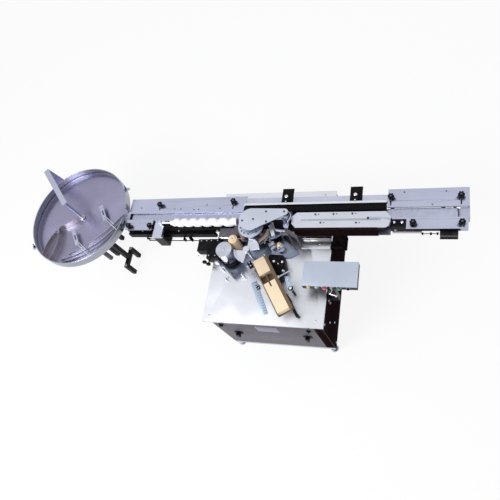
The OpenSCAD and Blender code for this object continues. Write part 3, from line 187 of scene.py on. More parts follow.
def skin(name, colour, metal=0.0, rough=0.4, grain=260.0, along=(1, 1, 1), bump=0.05, depth=0.0004,
         cloud=0.07, uneven=0.12, dust=0.0, dusty=None, wear_and_glint=0.0, wear_and_glint_colour=None, zones=(), metal_zones=(),
         **sockets):
    """A procedural material: clouds of colour, grain in roughness and bump, dust and an edge colour. On metal
    skins the clouds are partly painted reflection, an uneven sheen, and partly random tone; on the magazine
    the edge colour is a painted glint.

    zones is a list of (axis, from, to, colour) in metres that repaint a part of the piece, and
    metal_zones is a list of the (axis, from, to) of parts that are bare metal."""
    s = Skin(name, metal)
    tree = s.tree
    fine = noise(tree, s.where, grain, 3.0, along)
    wide = noise(tree, s.where, 2.6, 3.0, twist=0.6)
    spots = noise(tree, s.where, 38.0, 5.0)
    base = colour
    for axis, low, high, other in zones:
        base = mix(tree, s.inside(axis, low, high), base, other)
    bare = None
    for axis, low, high in metal_zones:
        part = s.inside(axis, low, high)
        bare = part if bare is None else math_node(tree, "MAXIMUM", bare, part)
    if bare:
        tree.links.new(bare, s.shader.inputs["Metallic"])
    # Clouds of colour: random tone on paint, and on the metals partly painted reflection, an uneven sheen
    shade = span(tree, wide, 0.3, 0.7, 1.0 - cloud, 1.0 + cloud)
    fleck = span(tree, fine, 0.25, 0.75, 1.0 - cloud * 0.5, 1.0 + cloud * 0.5)
    tone = math_node(tree, "MULTIPLY", shade, fleck)
    gray = add(tree, "ShaderNodeCombineXYZ")
    for index in range(3):
        tree.links.new(tone, gray.inputs[index])
    base = mix(tree, 1.0, base, gray.outputs[0], "MULTIPLY")
    if dust:
        base = mix(tree, span(tree, spots, 0.48, 0.72, 0.0, dust), base, dusty or linear(150, 145, 140))
    # Edge colour: rubbed paint on the painted skins, a painted glint on the magazine's edges
    if wear_and_glint:
        edge = s.edges()
        patch = span(tree, spots, 0.35, 0.6, 0.15, 1.0)
        mask = math_node(tree, "MULTIPLY", math_node(tree, "MULTIPLY", edge, patch), wear_and_glint)
        base = mix(tree, mask, base, wear_and_glint_colour or scaled(colour, 2.2))
    plug(tree, base, s.shader.inputs["Base Color"])
    level = span(tree, fine, 0.3, 0.7, rough - uneven * 0.5, rough + uneven * 0.5)
    smear = span(tree, wide, 0.35, 0.65, -uneven * 0.35, uneven * 0.35)
    total = math_node(tree, "ADD", level, smear)
    plug(tree, span(tree, total, 0.05, 1.0, 0.05, 1.0), s.shader.inputs["Roughness"])
    rise = add(tree, "ShaderNodeBump", Strength=bump, Distance=depth)
    tree.links.new(fine, rise.inputs["Height"])
    tree.links.new(rise.outputs[0], s.shader.inputs["Normal"])
    for key, value in sockets.items():
        s.shader.inputs[key.replace("_", " ")].default_value = value
    return s.made


def turned_steel(name, colour, rough, rings):
    """Metal turned on a lathe: fine rings about the piece's own middle and a streak across them."""
    s = Skin(name, 1.0)
    tree = s.tree
    middle = tree.nodes.new("ShaderNodeTexCoord")
    shift = add(tree, "ShaderNodeVectorMath", operation="SUBTRACT")
    shift.inputs[1].default_value = (0.5, 0.5, 0.5)
    tree.links.new(middle.outputs["Generated"], shift.inputs[0])
    ring = add(tree, "ShaderNodeTexWave", wave_type="RINGS", rings_direction="Z", Scale=rings, Distortion=1.5)
    ring.inputs["Detail"].default_value = 3.0
    tree.links.new(shift.outputs[0], ring.inputs["Vector"])
    wide = noise(tree, s.where, 3.0, 4.0, twist=0.8)
    fine = noise(tree, s.where, 160.0, 4.0)
    # Soft patches of lighter and darker colour: partly painted reflection, an uneven sheen on the turned
    # metal
    low = mix(tree, span(tree, wide, 0.3, 0.7, 0.0, 1.0), scaled(colour, 0.93), scaled(colour, 1.06))
    base = mix(tree, span(tree, ring.outputs[1], 0.0, 1.0, 0.0, 0.10), low, scaled(colour, 0.8))
    plug(tree, base, s.shader.inputs["Base Color"])
    plug(tree, span(tree, fine, 0.3, 0.7, rough - 0.05, rough + 0.07), s.shader.inputs["Roughness"])
    rise = add(tree, "ShaderNodeBump", Strength=0.06, Distance=0.0002)
    tree.links.new(ring.outputs[1], rise.inputs["Height"])
    tree.links.new(rise.outputs[0], s.shader.inputs["Normal"])
    streak = add(tree, "ShaderNodeTangent", direction_type="RADIAL", axis="Z")
    tree.links.new(streak.outputs[0], s.shader.inputs["Tangent"])
    s.shader.inputs["Anisotropic"].default_value = 0.75
    return s.made


def stacked_paper(name, colour, turn):
    """Cut edges of a stack of paper that runs along a line turned about Z."""
    s = Skin(name, 0.0)
    tree = s.tree
    place = add(tree, "ShaderNodeMapping")
    place.inputs["Rotation"].default_value = (0, 0, -turn)
    tree.links.new(s.where, place.inputs["Vector"])
    lines = noise(tree, place.outputs["Vector"], 420.0, 3.0, (1.0, 0.03, 0.03))
    packs = noise(tree, place.outputs["Vector"], 55.0, 3.0, (1.0, 0.05, 0.05))
    wide = noise(tree, s.where, 12.0, 4.0)
    base = mix(tree, span(tree, lines, 0.35, 0.65, 0.0, 0.8), scaled(colour, 0.82), scaled(colour, 1.04))
    base = mix(tree, span(tree, packs, 0.45, 0.7, 0.0, 0.45), base, scaled(colour, 0.72))
    base = mix(tree, span(tree, wide, 0.4, 0.7, 0.0, 0.3), base, linear(230, 202, 162))
    plug(tree, base, s.shader.inputs["Base Color"])
    plug(tree, span(tree, lines, 0.3, 0.7, 0.6, 0.8), s.shader.inputs["Roughness"])
    rise = add(tree, "ShaderNodeBump", Strength=0.35, Distance=0.0006)
    tree.links.new(lines, rise.inputs["Height"])
    tree.links.new(rise.outputs[0], s.shader.inputs["Normal"])
    return s.made


# Materials, one for each of the record's slots and a few for small parts
EDGE = linear(150, 145, 145)
CHANNEL_END = linear(176, 178, 200)
LEVEL = {"Specular_IOR_Level": 0.09}
DULL = {"Specular_IOR_Level": 0.0}
skins = {
    "stainless": skin("stainless", linear(186, 189, 200), 1.0, 0.30, 900, (0.03, 1, 1), 0.10, cloud=0.08),
    "table_steel": skin("table_steel", linear(219, 221, 229), 1.0, 0.36, 700, (0.02, 1, 1), 0.08, cloud=0.05),
    "guide_steel": skin("guide_steel", linear(180, 184, 206), 1.0, 0.28, 800, (0.02, 1, 1), 0.03, cloud=0.06),
    "turntable_steel": skin("turntable_steel", linear(164, 167, 178), 1.0, 0.27, 500, (1, 1, 0.05), 0.08,
                            cloud=0.10),
    "panel_gray": skin("panel_gray", linear(92, 88, 98), 0.0, 0.42, 330, bump=0.16, cloud=0.10,
                       dust=0.10, wear_and_glint=0.35, wear_and_glint_colour=linear(170, 168, 170), **LEVEL),
    "panel_brown": skin("panel_brown", linear(27, 17, 19), 0.0, 0.6, 330, bump=0.16, cloud=0.14,
                        dust=0.04, dusty=linear(80, 66, 64), wear_and_glint=0.4, wear_and_glint_colour=EDGE, **DULL),
    "frame_black": skin("frame_black", linear(10, 8, 11), 0.0, 0.42, 380, bump=0.18, cloud=0.2,
                        dust=0.05, dusty=linear(60, 54, 56), wear_and_glint=0.5, wear_and_glint_colour=EDGE, **LEVEL),
    "drive_black": skin("drive_black", linear(11, 9, 13), 0.0, 0.45, 260, bump=0.3, cloud=0.2,
                        dust=0.06, dusty=linear(70, 64, 66), wear_and_glint=0.6, wear_and_glint_colour=EDGE, **LEVEL),
    "drive_blue": skin("drive_blue", linear(84, 100, 124), 0.0, 0.4, 240, bump=0.3, cloud=0.1,
                       dust=0.15, wear_and_glint=0.5, wear_and_glint_colour=linear(170, 175, 180)),
    "plate_blue": skin("plate_blue", linear(138, 148, 168), 1.0, 0.33, 420, bump=0.1, cloud=0.12,
                       dust=0.2, dusty=linear(70, 74, 90)),
    "plate_white": skin("plate_white", linear(204, 207, 218), 1.0, 0.40, 600, bump=0.16, cloud=0.05),
    "knob_black": skin("knob_black", linear(9, 8, 11), 0.0, 0.36, 500, bump=0.12, cloud=0.15,
                       dust=0.04, dusty=linear(70, 66, 70), **LEVEL),
    "screw_white": skin("screw_white", linear(246, 246, 248), 0.0, 0.42, 300, (1, 0.3, 0.3), 0.05,
                        cloud=0.015, dust=0.03, dusty=linear(190, 188, 185)),
    "rubber_black": skin("rubber_black", linear(10, 8, 11), 0.0, 0.62, 420, bump=0.3, cloud=0.15,
                         dust=0.08, dusty=linear(60, 55, 56), **LEVEL),
    "belt_brown": skin("belt_brown", linear(30, 20, 20), 0.0, 0.6, 500, (1, 1, 0.2), 0.35, cloud=0.15,
                       dust=0.12, dusty=linear(80, 68, 62), **LEVEL),
    "roller_cream": skin("roller_cream", linear(236, 208, 172), 0.0, 0.42, 300, (1, 1, 0.2), 0.06, cloud=0.05,
                         dust=0.15, dusty=linear(200, 160, 115)),
    # The magazine's light cream edge colour is a painted glint, the highlights along the channel walls' edges
    "magazine_bronze": skin("magazine_bronze", linear(104, 86, 64), 0.25, 0.42, 500, bump=0.15, cloud=0.14,
                            dust=0.2, dusty=linear(66, 50, 36), wear_and_glint=0.7, wear_and_glint_colour=linear(226, 210, 180)),
    "strip_tan": skin("strip_tan", linear(178, 174, 170), 1.0, 0.28, 700, (1, 1, 0.03), 0.1, cloud=0.1),
    "rail_steel": skin("rail_steel", linear(214, 216, 220), 1.0, 0.30, 700, (0.03, 1, 1), 0.06, cloud=0.06),
    "plate_blank": skin("plate_blank", linear(136, 134, 154), 1.0, 0.36, 900, (0.03, 1, 1), 0.08, cloud=0.05),
    "box_dark": skin("box_dark", linear(34, 30, 36), 0.0, 0.42, 330, bump=0.16, cloud=0.1,
                     dust=0.06, wear_and_glint=0.4, wear_and_glint_colour=EDGE, **LEVEL),
    "button_red": skin("button_red", linear(206, 44, 66), 0.0, 0.25, 300, bump=0.03, cloud=0.06, uneven=0.06,
                       dust=0.05, Coat_Weight=0.4),
    "button_green": skin("button_green", linear(24, 116, 72), 0.0, 0.25, 300, bump=0.03, cloud=0.06,
                         uneven=0.06, dust=0.05, Coat_Weight=0.4),
    "button_white": skin("button_white", linear(150, 150, 156), 0.0, 0.3, 300, bump=0.04, cloud=0.05,
                         uneven=0.06, dust=0.06),
    "turned": turned_steel("turned_disc", linear(150, 147, 174), 0.30, 60.0),
    "turned_small": turned_steel("turned_small", linear(196, 199, 212), 0.28, 18.0),
    "chrome": skin("chrome", linear(216, 219, 228), 1.0, 0.16, 500, bump=0.04, cloud=0.03, uneven=0.06),
    "brass": skin("brass", linear(226, 196, 160), 1.0, 0.28, 500, bump=0.08, cloud=0.08),
    "lid_steel": skin("lid_steel", linear(188, 198, 214), 1.0, 0.36, 500, (0.03, 1, 1), 0.08, cloud=0.06),
    "lamp_yellow": skin("lamp_yellow", linear(232, 208, 40), 0.0, 0.22, 300, bump=0.03, cloud=0.06,
                        uneven=0.06, Coat_Weight=0.5),
    "lamp_white": skin("lamp_white", linear(150, 196, 190), 0.0, 0.22, 300, bump=0.03, cloud=0.06,
                       uneven=0.06, Coat_Weight=0.5),
    "sponge": skin("sponge", linear(138, 116, 108), 0.0, 0.8, 240, bump=0.7, depth=0.0012, cloud=0.2),
    "ticks": skin("ticks", linear(60, 66, 88), 0.0, 0.5, 500, bump=0.08, cloud=0.1),
    "slats": skin("slats", linear(176, 180, 200), 1.0, 0.32, 700, (1, 0.03, 1), 0.06, cloud=0.08,
                  dust=0.25, dusty=linear(120, 120, 136)),
    "dark_steel": skin("dark_steel", linear(92, 94, 108), 1.0, 0.34, 500, bump=0.08, cloud=0.1),
    "tray": skin("tray", linear(104, 110, 126), 1.0, 0.36, 500, bump=0.15, cloud=0.2, dust=0.5,
                 dusty=linear(30, 28, 34)),
    "scale_plate": skin("scale_plate", linear(176, 194, 214), 1.0, 0.4, 600, bump=0.1, cloud=0.05),
    "channel": skin("channel", linear(10, 8, 11), 0.0, 0.42, 380, bump=0.18, cloud=0.1, dust=0.04,
                    dusty=linear(70, 66, 70),
                    zones=[(1, 0.312, 1.0, linear(190, 194, 212)), (0, -2.1, -0.9545, CHANNEL_END),
                           (0, 1.9540, 2.1, CHANNEL_END)],
                    metal_zones=[(1, 0.312, 1.0), (0, -2.1, -0.9545), (0, 1.9540, 2.1)], **LEVEL),
    "supports": skin("supports", linear(16, 12, 14), 0.0, 0.42, 380, bump=0.18, cloud=0.1, dust=0.04,
                     zones=[(0, 1.4562, 2.0, linear(182, 176, 184))], metal_zones=[(0, 1.4562, 2.0)], **DULL),
    # Below 0.835 m the bracket is painted near black: painted shade
    "bracket": skin("bracket", linear(196, 200, 220), 1.0, 0.36, 500, bump=0.12, cloud=0.06,
                    zones=[(2, 0.0, 0.8350, linear(14, 11, 13))]),
}
paper_turn = math.radians(32.6 - 90)
skins["label_cream"] = stacked_paper("label_cream", linear(234, 213, 184), paper_turn)
skins["pusher_cream"] = skin("pusher_cream", linear(236, 216, 184), 0.0, 0.5, 420, (1, 1, 0.2), 0.12,
                             cloud=0.06, dust=0.2, dusty=linear(222, 192, 150))
BROWN = linear(152, 128, 118)
skins["drum"] = skin("drum_parts", linear(190, 198, 214), 1.0, 0.4, 500, bump=0.1, cloud=0.06,
                     zones=[(2, 0.8690, 0.8950, BROWN)])
skins["top_plate"] = skin("top_plate", linear(198, 203, 218), 1.0, 0.36, 600, bump=0.12, cloud=0.05,
                          zones=[(2, 0.8, 0.9915, linear(120, 124, 140))])

# The CAD nodes take their materials
special = {
    "turntable_disc": "turned", "glue_drum": "turned_small", "gripper_drum": "drum",
    "head_top_plate": "top_plate", "magazine_scale": "scale_plate", "conveyor_frame": "channel",
    "conveyor_supports": "supports", "screw_tail_bracket": "bracket", "glue_tray": "tray",
    "air_valves": "plate_white", "slat_chain": "slats", "guide_rails": "rail_steel",
}
for entry in frame["record"]["subparts"]:
    node = frame["nodes"][entry["node"]]
    node.data.materials.clear()
    node.data.materials.append(skins[special.get(entry["node"], entry["material_slot"])])

# Edges of the CAD nodes are smoothed by angle, and boxy ones get a small rounded edge
rounded = {
    "cabinet_top": 1.5, "front_panel": 1.0, "cabinet_panels": 1.0, "nameplate": 0.6, "control_box": 1.0,
    "guide_rear_left": 0.8, "guide_rear_right": 0.8, "guide_front_left": 0.8, "guide_front_right": 0.8,
    "pressure_pad": 1.5, "belt_top_plate": 1.2, "screw_drive": 2.0, "screw_gearbox": 2.5,
    "magazine_scale": 0.8, "label_stack": 1.0, "conveyor_motor": 2.0, "turntable_stand": 1.5,
    "head_base": 1.0, "cam_box": 2.0,
    "latch_left": 2.0, "latch_right": 2.0,
}


def crease_group():
    """A node group that keeps edges sharp where faces meet at more than a small angle."""
    group = bpy.data.node_groups.new("crease", "GeometryNodeTree")
    group.interface.new_socket("Geometry", in_out="INPUT", socket_type="NodeSocketGeometry")
    group.interface.new_socket("Geometry", in_out="OUTPUT", socket_type="NodeSocketGeometry")
    start = group.nodes.new("NodeGroupInput")
    end = group.nodes.new("NodeGroupOutput")
    faces = add(group, "GeometryNodeSetShadeSmooth", domain="FACE")
    angle = group.nodes.new("GeometryNodeInputMeshEdgeAngle")
    steep = add(group, "FunctionNodeCompare", data_type="FLOAT", operation="GREATER_THAN")
    steep.inputs[1].default_value = math.radians(CREASE)
    edges = add(group, "GeometryNodeSetShadeSmooth", domain="EDGE")
    edges.inputs["Shade Smooth"].default_value = False
    group.links.new(start.outputs[0], faces.inputs["Geometry"])
    group.links.new(angle.outputs[0], steep.inputs[0])
    group.links.new(faces.outputs[0], edges.inputs["Geometry"])
    group.links.new(steep.outputs[0], edges.inputs["Selection"])
    group.links.new(edges.outputs[0], end.inputs[0])
    return group


creases = crease_group()


def crease(piece):
    """Adds the crease group after the piece's other modifiers."""
    last = piece.modifiers.new("crease", "NODES")
    last.node_group = creases


for name, node in frame["nodes"].items():
    data = node.data
    if "custom_normal" in data.attributes:
        data.attributes.remove(data.attributes["custom_normal"])
    weld = node.modifiers.new("weld", "WELD")
    weld.merge_threshold = 0.00001
    if name in rounded:
        round_off = node.modifiers.new("round", "BEVEL")
        round_off.width = rounded[name] * MM
        round_off.segments = 2
        round_off.limit_method = "ANGLE"
        round_off.angle_limit = math.radians(40)
        round_off.use_clamp_overlap = True
    crease(node)


class Build:
    """Collects solids in one mesh, in the places that the CAD uses, in mm."""

    def __init__(self):
        self.mesh = bmesh.new()
        self.place = Matrix.Identity(4)

    def at(self, x, y, z, turn=0.0, tip=None):
        """Sets where the next solids go: a place, a turn about Z in degrees or the way they point."""
        self.place = Matrix.Translation((x, y, z)) @ Matrix.Rotation(math.radians(turn), 4, "Z")
        if tip is not None:
            way = Vector(tip).to_track_quat("Z", "Y")
            self.place = Matrix.Translation((x, y, z)) @ way.to_matrix().to_4x4()
        return self

    def solid(self, points, faces):
        made = [self.mesh.verts.new(self.place @ Vector(p)) for p in points]
        for face in faces:
            if len(set(face)) > 2:
                self.mesh.faces.new([made[i] for i in face])
        return self

    def box(self, low, high):
        (a, b, c), (d, e, f) = low, high
        points = [(a, b, c), (d, b, c), (d, e, c), (a, e, c), (a, b, f), (d, b, f), (d, e, f), (a, e, f)]
        faces = [(3, 2, 1, 0), (4, 5, 6, 7), (0, 1, 5, 4), (1, 2, 6, 5), (2, 3, 7, 6), (3, 0, 4, 7)]
        return self.solid(points, faces)

    def prism(self, outline, z0, z1):
        count = len(outline)
        points = [(x, y, z0) for x, y in outline] + [(x, y, z1) for x, y in outline]
        faces = [tuple(reversed(range(count))), tuple(range(count, 2 * count))]
        for i in range(count):
            j = (i + 1) % count
            faces.append((i, j, count + j, count + i))
        return self.solid(points, faces)

    def lathe(self, profile, steps=24):
        """Turns a profile of (radius, height) about the place's own axis. A closed profile makes a ring."""
        points = []
        for radius, height in profile:
            for i in range(steps):
                a = 2 * math.pi * i / steps
                points.append((radius * math.cos(a), radius * math.sin(a), height))
        rings = len(profile)
        faces = []
        for k in range(rings - 1):
            for i in range(steps):
                j = (i + 1) % steps
                faces.append((k * steps + i, k * steps + j, (k + 1) * steps + j, (k + 1) * steps + i))
        if profile[0] != profile[-1]:
            faces.append(tuple(reversed(range(steps))))
            faces.append(tuple((rings - 1) * steps + i for i in range(steps)))
        return self.solid(points, faces)

    def tube(self, path, radius, steps=12):
        """A round bar along a path of points, with smooth bends."""
        points = [Vector(p) for p in path]
        count = len(points)
        rows = []
        side = None
        for i, point in enumerate(points):
            ahead_way = (points[min(i + 1, count - 1)] - points[max(i - 1, 0)]).normalized()
            if side is None:
                side = ahead_way.orthogonal().normalized()
            side = (side - ahead_way * side.dot(ahead_way)).normalized()
            other = ahead_way.cross(side)
            for k in range(steps):
                a = 2 * math.pi * k / steps
                rows.append(point + side * (radius * math.cos(a)) + other * (radius * math.sin(a)))
        faces = []
        for i in range(count - 1):
            for k in range(steps):
                j = (k + 1) % steps
                faces.append((i * steps + k, i * steps + j, (i + 1) * steps + j, (i + 1) * steps + k))
        faces.append(tuple(reversed(range(steps))))
        faces.append(tuple((count - 1) * steps + k for k in range(steps)))
        return self.solid(rows, faces)

    def cap_screw(self, r, h):
        """A socket cap screw's head, standing on the place."""
        socket = [(r * 0.52, h), (r * 0.5, h * 0.45), (0.01, h * 0.4)]
        return self.lathe([(r, 0), (r, h * 0.8), (r * 0.88, h)] + socket, 20)

    def dome(self, r, h):
        """A pan or dome head."""
        crown = [(r * 0.7, h * 0.88), (r * 0.35, h), (0.01, h)]
        return self.lathe([(r, 0), (r, h * 0.25), (r * 0.92, h * 0.6)] + crown, 20)

    def hexagon(self, r, h, washer=0.0):
        """A hexagon head or nut on a washer."""
        if washer:
            self.lathe([(washer, 0), (washer, h * 0.16), (washer * 0.96, h * 0.2), (r * 0.5, h * 0.2)], 24)
        base = h * 0.2 if washer else 0.0
        corners = [(r * math.cos(math.radians(60 * i)), r * math.sin(math.radians(60 * i))) for i in range(6)]
        self.prism(corners, base, h * 0.92)
        return self.lathe([(r * 0.84, h * 0.9), (r * 0.8, h), (0.01, h)], 24)

    def done(self, name, material, body, bevel=0.0):
        bmesh.ops.remove_doubles(self.mesh, verts=self.mesh.verts[:], dist=0.0005)
        bmesh.ops.recalc_face_normals(self.mesh, faces=self.mesh.faces[:])
        for v in self.mesh.verts:
            v.co = (v.co + HOME) * MM
        data = bpy.data.meshes.new(name)
        self.mesh.to_mesh(data)
        self.mesh.free()
        data.materials.append(skins[material])
        piece = bpy.data.objects.new(name, data)
        scene.collection.objects.link(piece)
        if bevel:
            edge = piece.modifiers.new("edge", "BEVEL")
            edge.width = bevel * MM
            edge.segments = 2
            edge.limit_method = "ANGLE"
            edge.angle_limit = math.radians(35)
        crease(piece)
        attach(piece, body)
        return piece


def curve_points(knots, steps=8):
    """Points on a smooth line through the knots."""
    ends = [knots[0]] + list(knots) + [knots[-1]]
    out = []
    for i in range(1, len(ends) - 2):
        a, b, c, d = (Vector(ends[i + k]) for k in (-1, 0, 1, 2))
        for k in range(steps):
            t = k / steps
            out.append(0.5 * ((2 * b) + (c - a) * t + (2 * a - 5 * b + 4 * c - d) * t * t
                              + (3 * b - 3 * c + d - a) * t ** 3))
    out.append(Vector(knots[-1]))
    return out


def arc(cx, cy, r, start, end, steps=24):
    """Points of an arc, in degrees."""
    return [(cx + r * math.cos(math.radians(start + (end - start) * i / steps)),
             cy + r * math.sin(math.radians(start + (end - start) * i / steps))) for i in range(steps + 1)]


def band(points, width):
    """The outline of a flat strip along points in the plane."""
    left, right_side = [], []
    for i, p in enumerate(points):
        a = Vector(points[max(i - 1, 0)])
        b = Vector(points[min(i + 1, len(points) - 1)])
        way = (b - a).normalized()
        out = Vector((-way.y, way.x)) * width / 2
        left.append((p[0] + out.x, p[1] + out.y))
        right_side.append((p[0] - out.x, p[1] - out.y))
    return left + right_side[::-1]


# Table: bolts, the joint plate by the conveyor and the bright rail along it
b = Build()
for x, y in ((-345, -217), (421, 105), (-307, 576), (421, 576), (-460, -560), (455, -560)):
    b.at(x, y, TABLE).dome(8, 4)
b.done("table_bolts", "stainless", "machine")
b = Build()
b.at(0, 0, 0).box((269, 60, TABLE), (507, 144, TABLE + 1.6))
b.done("table_joint_plate", "table_steel", "machine", 0.5)
b = Build()
b.box((269, 146, TABLE), (507, 150, TABLE + 24))
b.box((269, 150, TABLE), (507, 168, TABLE + 2))
b.done("splash_rail", "strip_tan", "machine", 0.6)

# Front of the cabinet: dark side stile, catches, latch roses with painted shadow, and screws
b = Build()
b.box((436, -615.2, 130), (508, -614, 691))
b.done("front_stile", "panel_brown", "machine", 0.4)
b = Build()
for x, z in ((-365, 652), (384, 627)):
    b.at(0, 0, 0).box((x - 14, -630, z - 18), (x + 14, -614, z + 18))
    b.at(x, -630, z, tip=(0, -1, 0)).dome(8, 6)
b.done("panel_catches", "knob_black", "machine", 2.0)
for side, x, z in (("left", -280, 439), ("right", 334, 437)):
    b = Build()
    # The rose is a dark disc larger than the latch: partly a rose, partly painted shadow of the latch on the
    # panel
    b.at(x, -614.2, z, tip=(0, -1, 0)).lathe([(40, 0), (40, 5), (36, 9), (16, 9.6)], 32)
    b.done("latch_rose_and_shadow_" + side, "knob_black", "machine")
    b = Build()
    b.at(x, -650.5, z, tip=(0, -1, 0)).lathe([(9, 0), (9, 1.0), (7, 1.4), (0.01, 1.4)], 24)
    b.done("latch_cap_" + side, "chrome", "latch_" + side)
b = Build()
for x, z in ((-60, 527), (106, 527), (-60, 633), (106, 633)):
    b.at(x, -615.5, z, tip=(0, -1, 0)).dome(4, 2)
b.done("plate_rivets", "stainless", "machine")
b = Build()
side_screws = ((-484, 449), (-426, 262), (560, 449), (560, 262), (-560, 640), (560, 640), (-560, 110),
               (560, 110))
for y, z in side_screws:
    b.at(508, y, z, tip=(1, 0, 0)).dome(9, 5)
    b.at(-430, y, z, tip=(-1, 0, 0)).dome(9, 5)
for x in (-400, -150, 230, 478):
    for z in (110, 640):
        b.at(x, 614, z, tip=(0, 1, 0)).dome(9, 5)
b.done("panel_screws", "stainless", "machine")
b = Build()
for row in range(7):
    z = 250 + row * 26
    for x in (-200, 60):
        b.at(0, 0, 0).solid(
            [(x, 614, z), (x + 200, 614, z), (x + 194, 622, z + 2), (x + 6, 622, z + 2),
             (x, 614, z + 16), (x + 200, 614, z + 16), (x + 194, 615, z + 15), (x + 6, 615, z + 15)],
            [(0, 3, 2, 1), (0, 1, 5, 4), (3, 7, 6, 2), (1, 2, 6, 5), (0, 4, 7, 3), (4, 5, 6, 7)])
b.done("back_louvres", "panel_brown", "machine", 0.6)
b = Build()
for x in (-402, 480):
    for y in (-586, 586):
        b.at(x, y, 44).hexagon(22, 16, 30)
        b.at(x, y, 0).lathe([(34, 0), (36, 3), (36, 9), (32, 12), (24, 13)], 32)
b.done("foot_nuts", "stainless", "machine")

# Conveyor: bolts of the ties, side rods, motor fins and screws
b = Build()
for i in range(8):
    x = -1297 + 30 + i * (1424 + 1327 - 90) / 7 + 15
    for y, way in ((186, -1), (475, 1)):
        if way < 0 and (232 < x < 1003 or -460 < x < -255 or -1110 < x < -1000):
            continue
        b.at(x, y, 812, tip=(0, way, 0)).hexagon(8, 6, 11)
b.done("tie_bolts", "stainless", "machine")
b = Build()
b.tube([(-1245, 152, 716), (-1110, 152, 716)], 6)
b.tube([(-1000, 152, 718), (-780, 152, 718)], 6)
b.tube([(1221, 158, 800), (1352, 158, 800)], 6)
for x in (-1215, -1190, -905):
    b.at(x, 152, 717, tip=(1, 0, 0)).lathe([(9, 0), (9, 16), (8, 17), (0.01, 17)], 20)
b.done("guide_rods", "chrome", "machine")
b = Build()
for x in (-1225, -1000, -860, 1285):
    z = 717 if x < 0 else 800
    y = 152 if x < 0 else 158
    b.at(x, y, z, tip=(1, 0, 0)).lathe([(11, 0), (11, 14), (9, 15), (0.01, 15)], 20)
for x in (-1236, -795):
    b.at(0, 0, 0).box((x - 6, 146, 711), (x + 6, 162, 738))
for x in (1232, 1340):
    b.at(0, 0, 0).box((x - 6, 152, 788), (x + 6, 168, 807))
b.done("rod_clips", "drive_black", "machine", 1.0)
b = Build()
for i in range(6):
    x = 1366 + i * 22
    b.at(0, 0, 0).box((x, 134, 752), (x + 4, 140.5, 823))
b.box((1357, 136, 823), (1487, 140.5, 828))
b.box((1357, 136, 747), (1487, 140.5, 752))
b.done("motor_fins", "drive_black", "machine", 0.6)
b = Build()
b.box((1359, 134.5, 806), (1485, 136.5, 809))
b.done("motor_line", "chrome", "machine", 0.4)

# Dark strips that stand on the ties beside the chain, where the lane is open: painted shade, for the shadow
# of the guide plates' edges and the dark gaps beside the chain
b = Build()
for x0, x1 in ((-1290, -1010), (1010, 1440)):
    b.box((x0, 266.4, 823), (x1, 269.8, 849))
    b.box((x0, 353.2, 823), (x1, 356.6, 849))
b.done("lane_gap_shade_strips", "drive_black", "machine")

# Guide plates: knob inserts, slots and plate screws
b = Build()
knob_places = ((-1091, 425), (-356, 441), (990, 445), (1507, 445), (-1370, 207), (-1146, 207), (1164, 214),
               (1513, 214))
for x, y in knob_places:
    b.at(x, y, 900.2).lathe([(8, 0), (8, 2.0), (6.5, 3.0), (3.5, 3.0), (3.2, 1.4), (0.01, 1.2)], 24)
b.done("knob_inserts", "dark_steel", "machine")
b = Build()
for x, y in ((-931, 382), (-869, 381), (-614, 417), (-735, 372), (-690, 372), (-480, 380), (-1290, 400)):
    b.at(x, y, 870).cap_screw(6, 3)
b.done("plate_screws_rear_left", "dark_steel", "guide_rear_left")
b = Build()
for x, y in ((1090, 490), (1400, 490), (1300, 375)):
    b.at(x, y, 870).cap_screw(6, 3)
b.done("plate_screws_rear_right", "dark_steel", "guide_rear_right")
# The dark slots end short of the studs, so that the plates can slide
slots = {"left": ((-1091, 394), (-356, 410)), "right": ((990, 414), (1507, 414))}
for side, ends in slots.items():
    b = Build()
    for x, end in ends:
        b.at(0, 0, 0).box((x - 5, 372, 869.8), (x + 5, end, 870.2))
    b.done("knob_slots_" + side, "drive_black", "guide_rear_" + side)
b = Build()
for x in (1022, 1082):
    b.at(x, 224, 866.7).dome(12, 8)
b.done("recess_bolts", "chrome", "machine")
b = Build()
b.box((1008, 190, 866.7), (1104, 242, 868.6))
b.done("recess_plate", "drive_black", "machine", 0.4)
b = Build()
for x, y in ((-1086, 245), (-1024, 245), (-1086, 118), (-1024, 118)):
    b.at(x, y, 870).cap_screw(7, 5)
b.done("bracket_screws", "stainless", "machine")

# Press belt unit: screws, the tension bar and its pin
b = Build()
for x, y in ((409, 271), (556, 273), (707, 275), (458, 195), (741, 192)):
    b.at(x, y, 930).cap_screw(8, 5)
    b.at(x + 26, y + 1, 930).cap_screw(4.5, 3)
b.done("belt_plate_screws", "dark_steel", "machine")
b = Build()
b.prism(band([(842, 232), (900, 233), (960, 229), (1001, 224)], 16), 930, 935)
b.done("tension_bar", "guide_steel", "machine", 1.0)
b = Build()
b.at(831, 232, 930).lathe([(8, 0), (8, 7), (6, 9), (0.01, 9)], 24)
b.done("tension_pin", "knob_black", "machine")
b = Build()
b.box((-238, 384, 900.7), (962, 404, 903.5))
b.done("pad_rail_cap", "table_steel", "machine", 0.8)
b = Build()
for x in (134, 714):
    b.at(x, 458, 908.7).dome(15, 10)
    b.at(x, 410, 908.7).cap_screw(6, 4)
b.done("pad_knobs", "chrome", "machine")

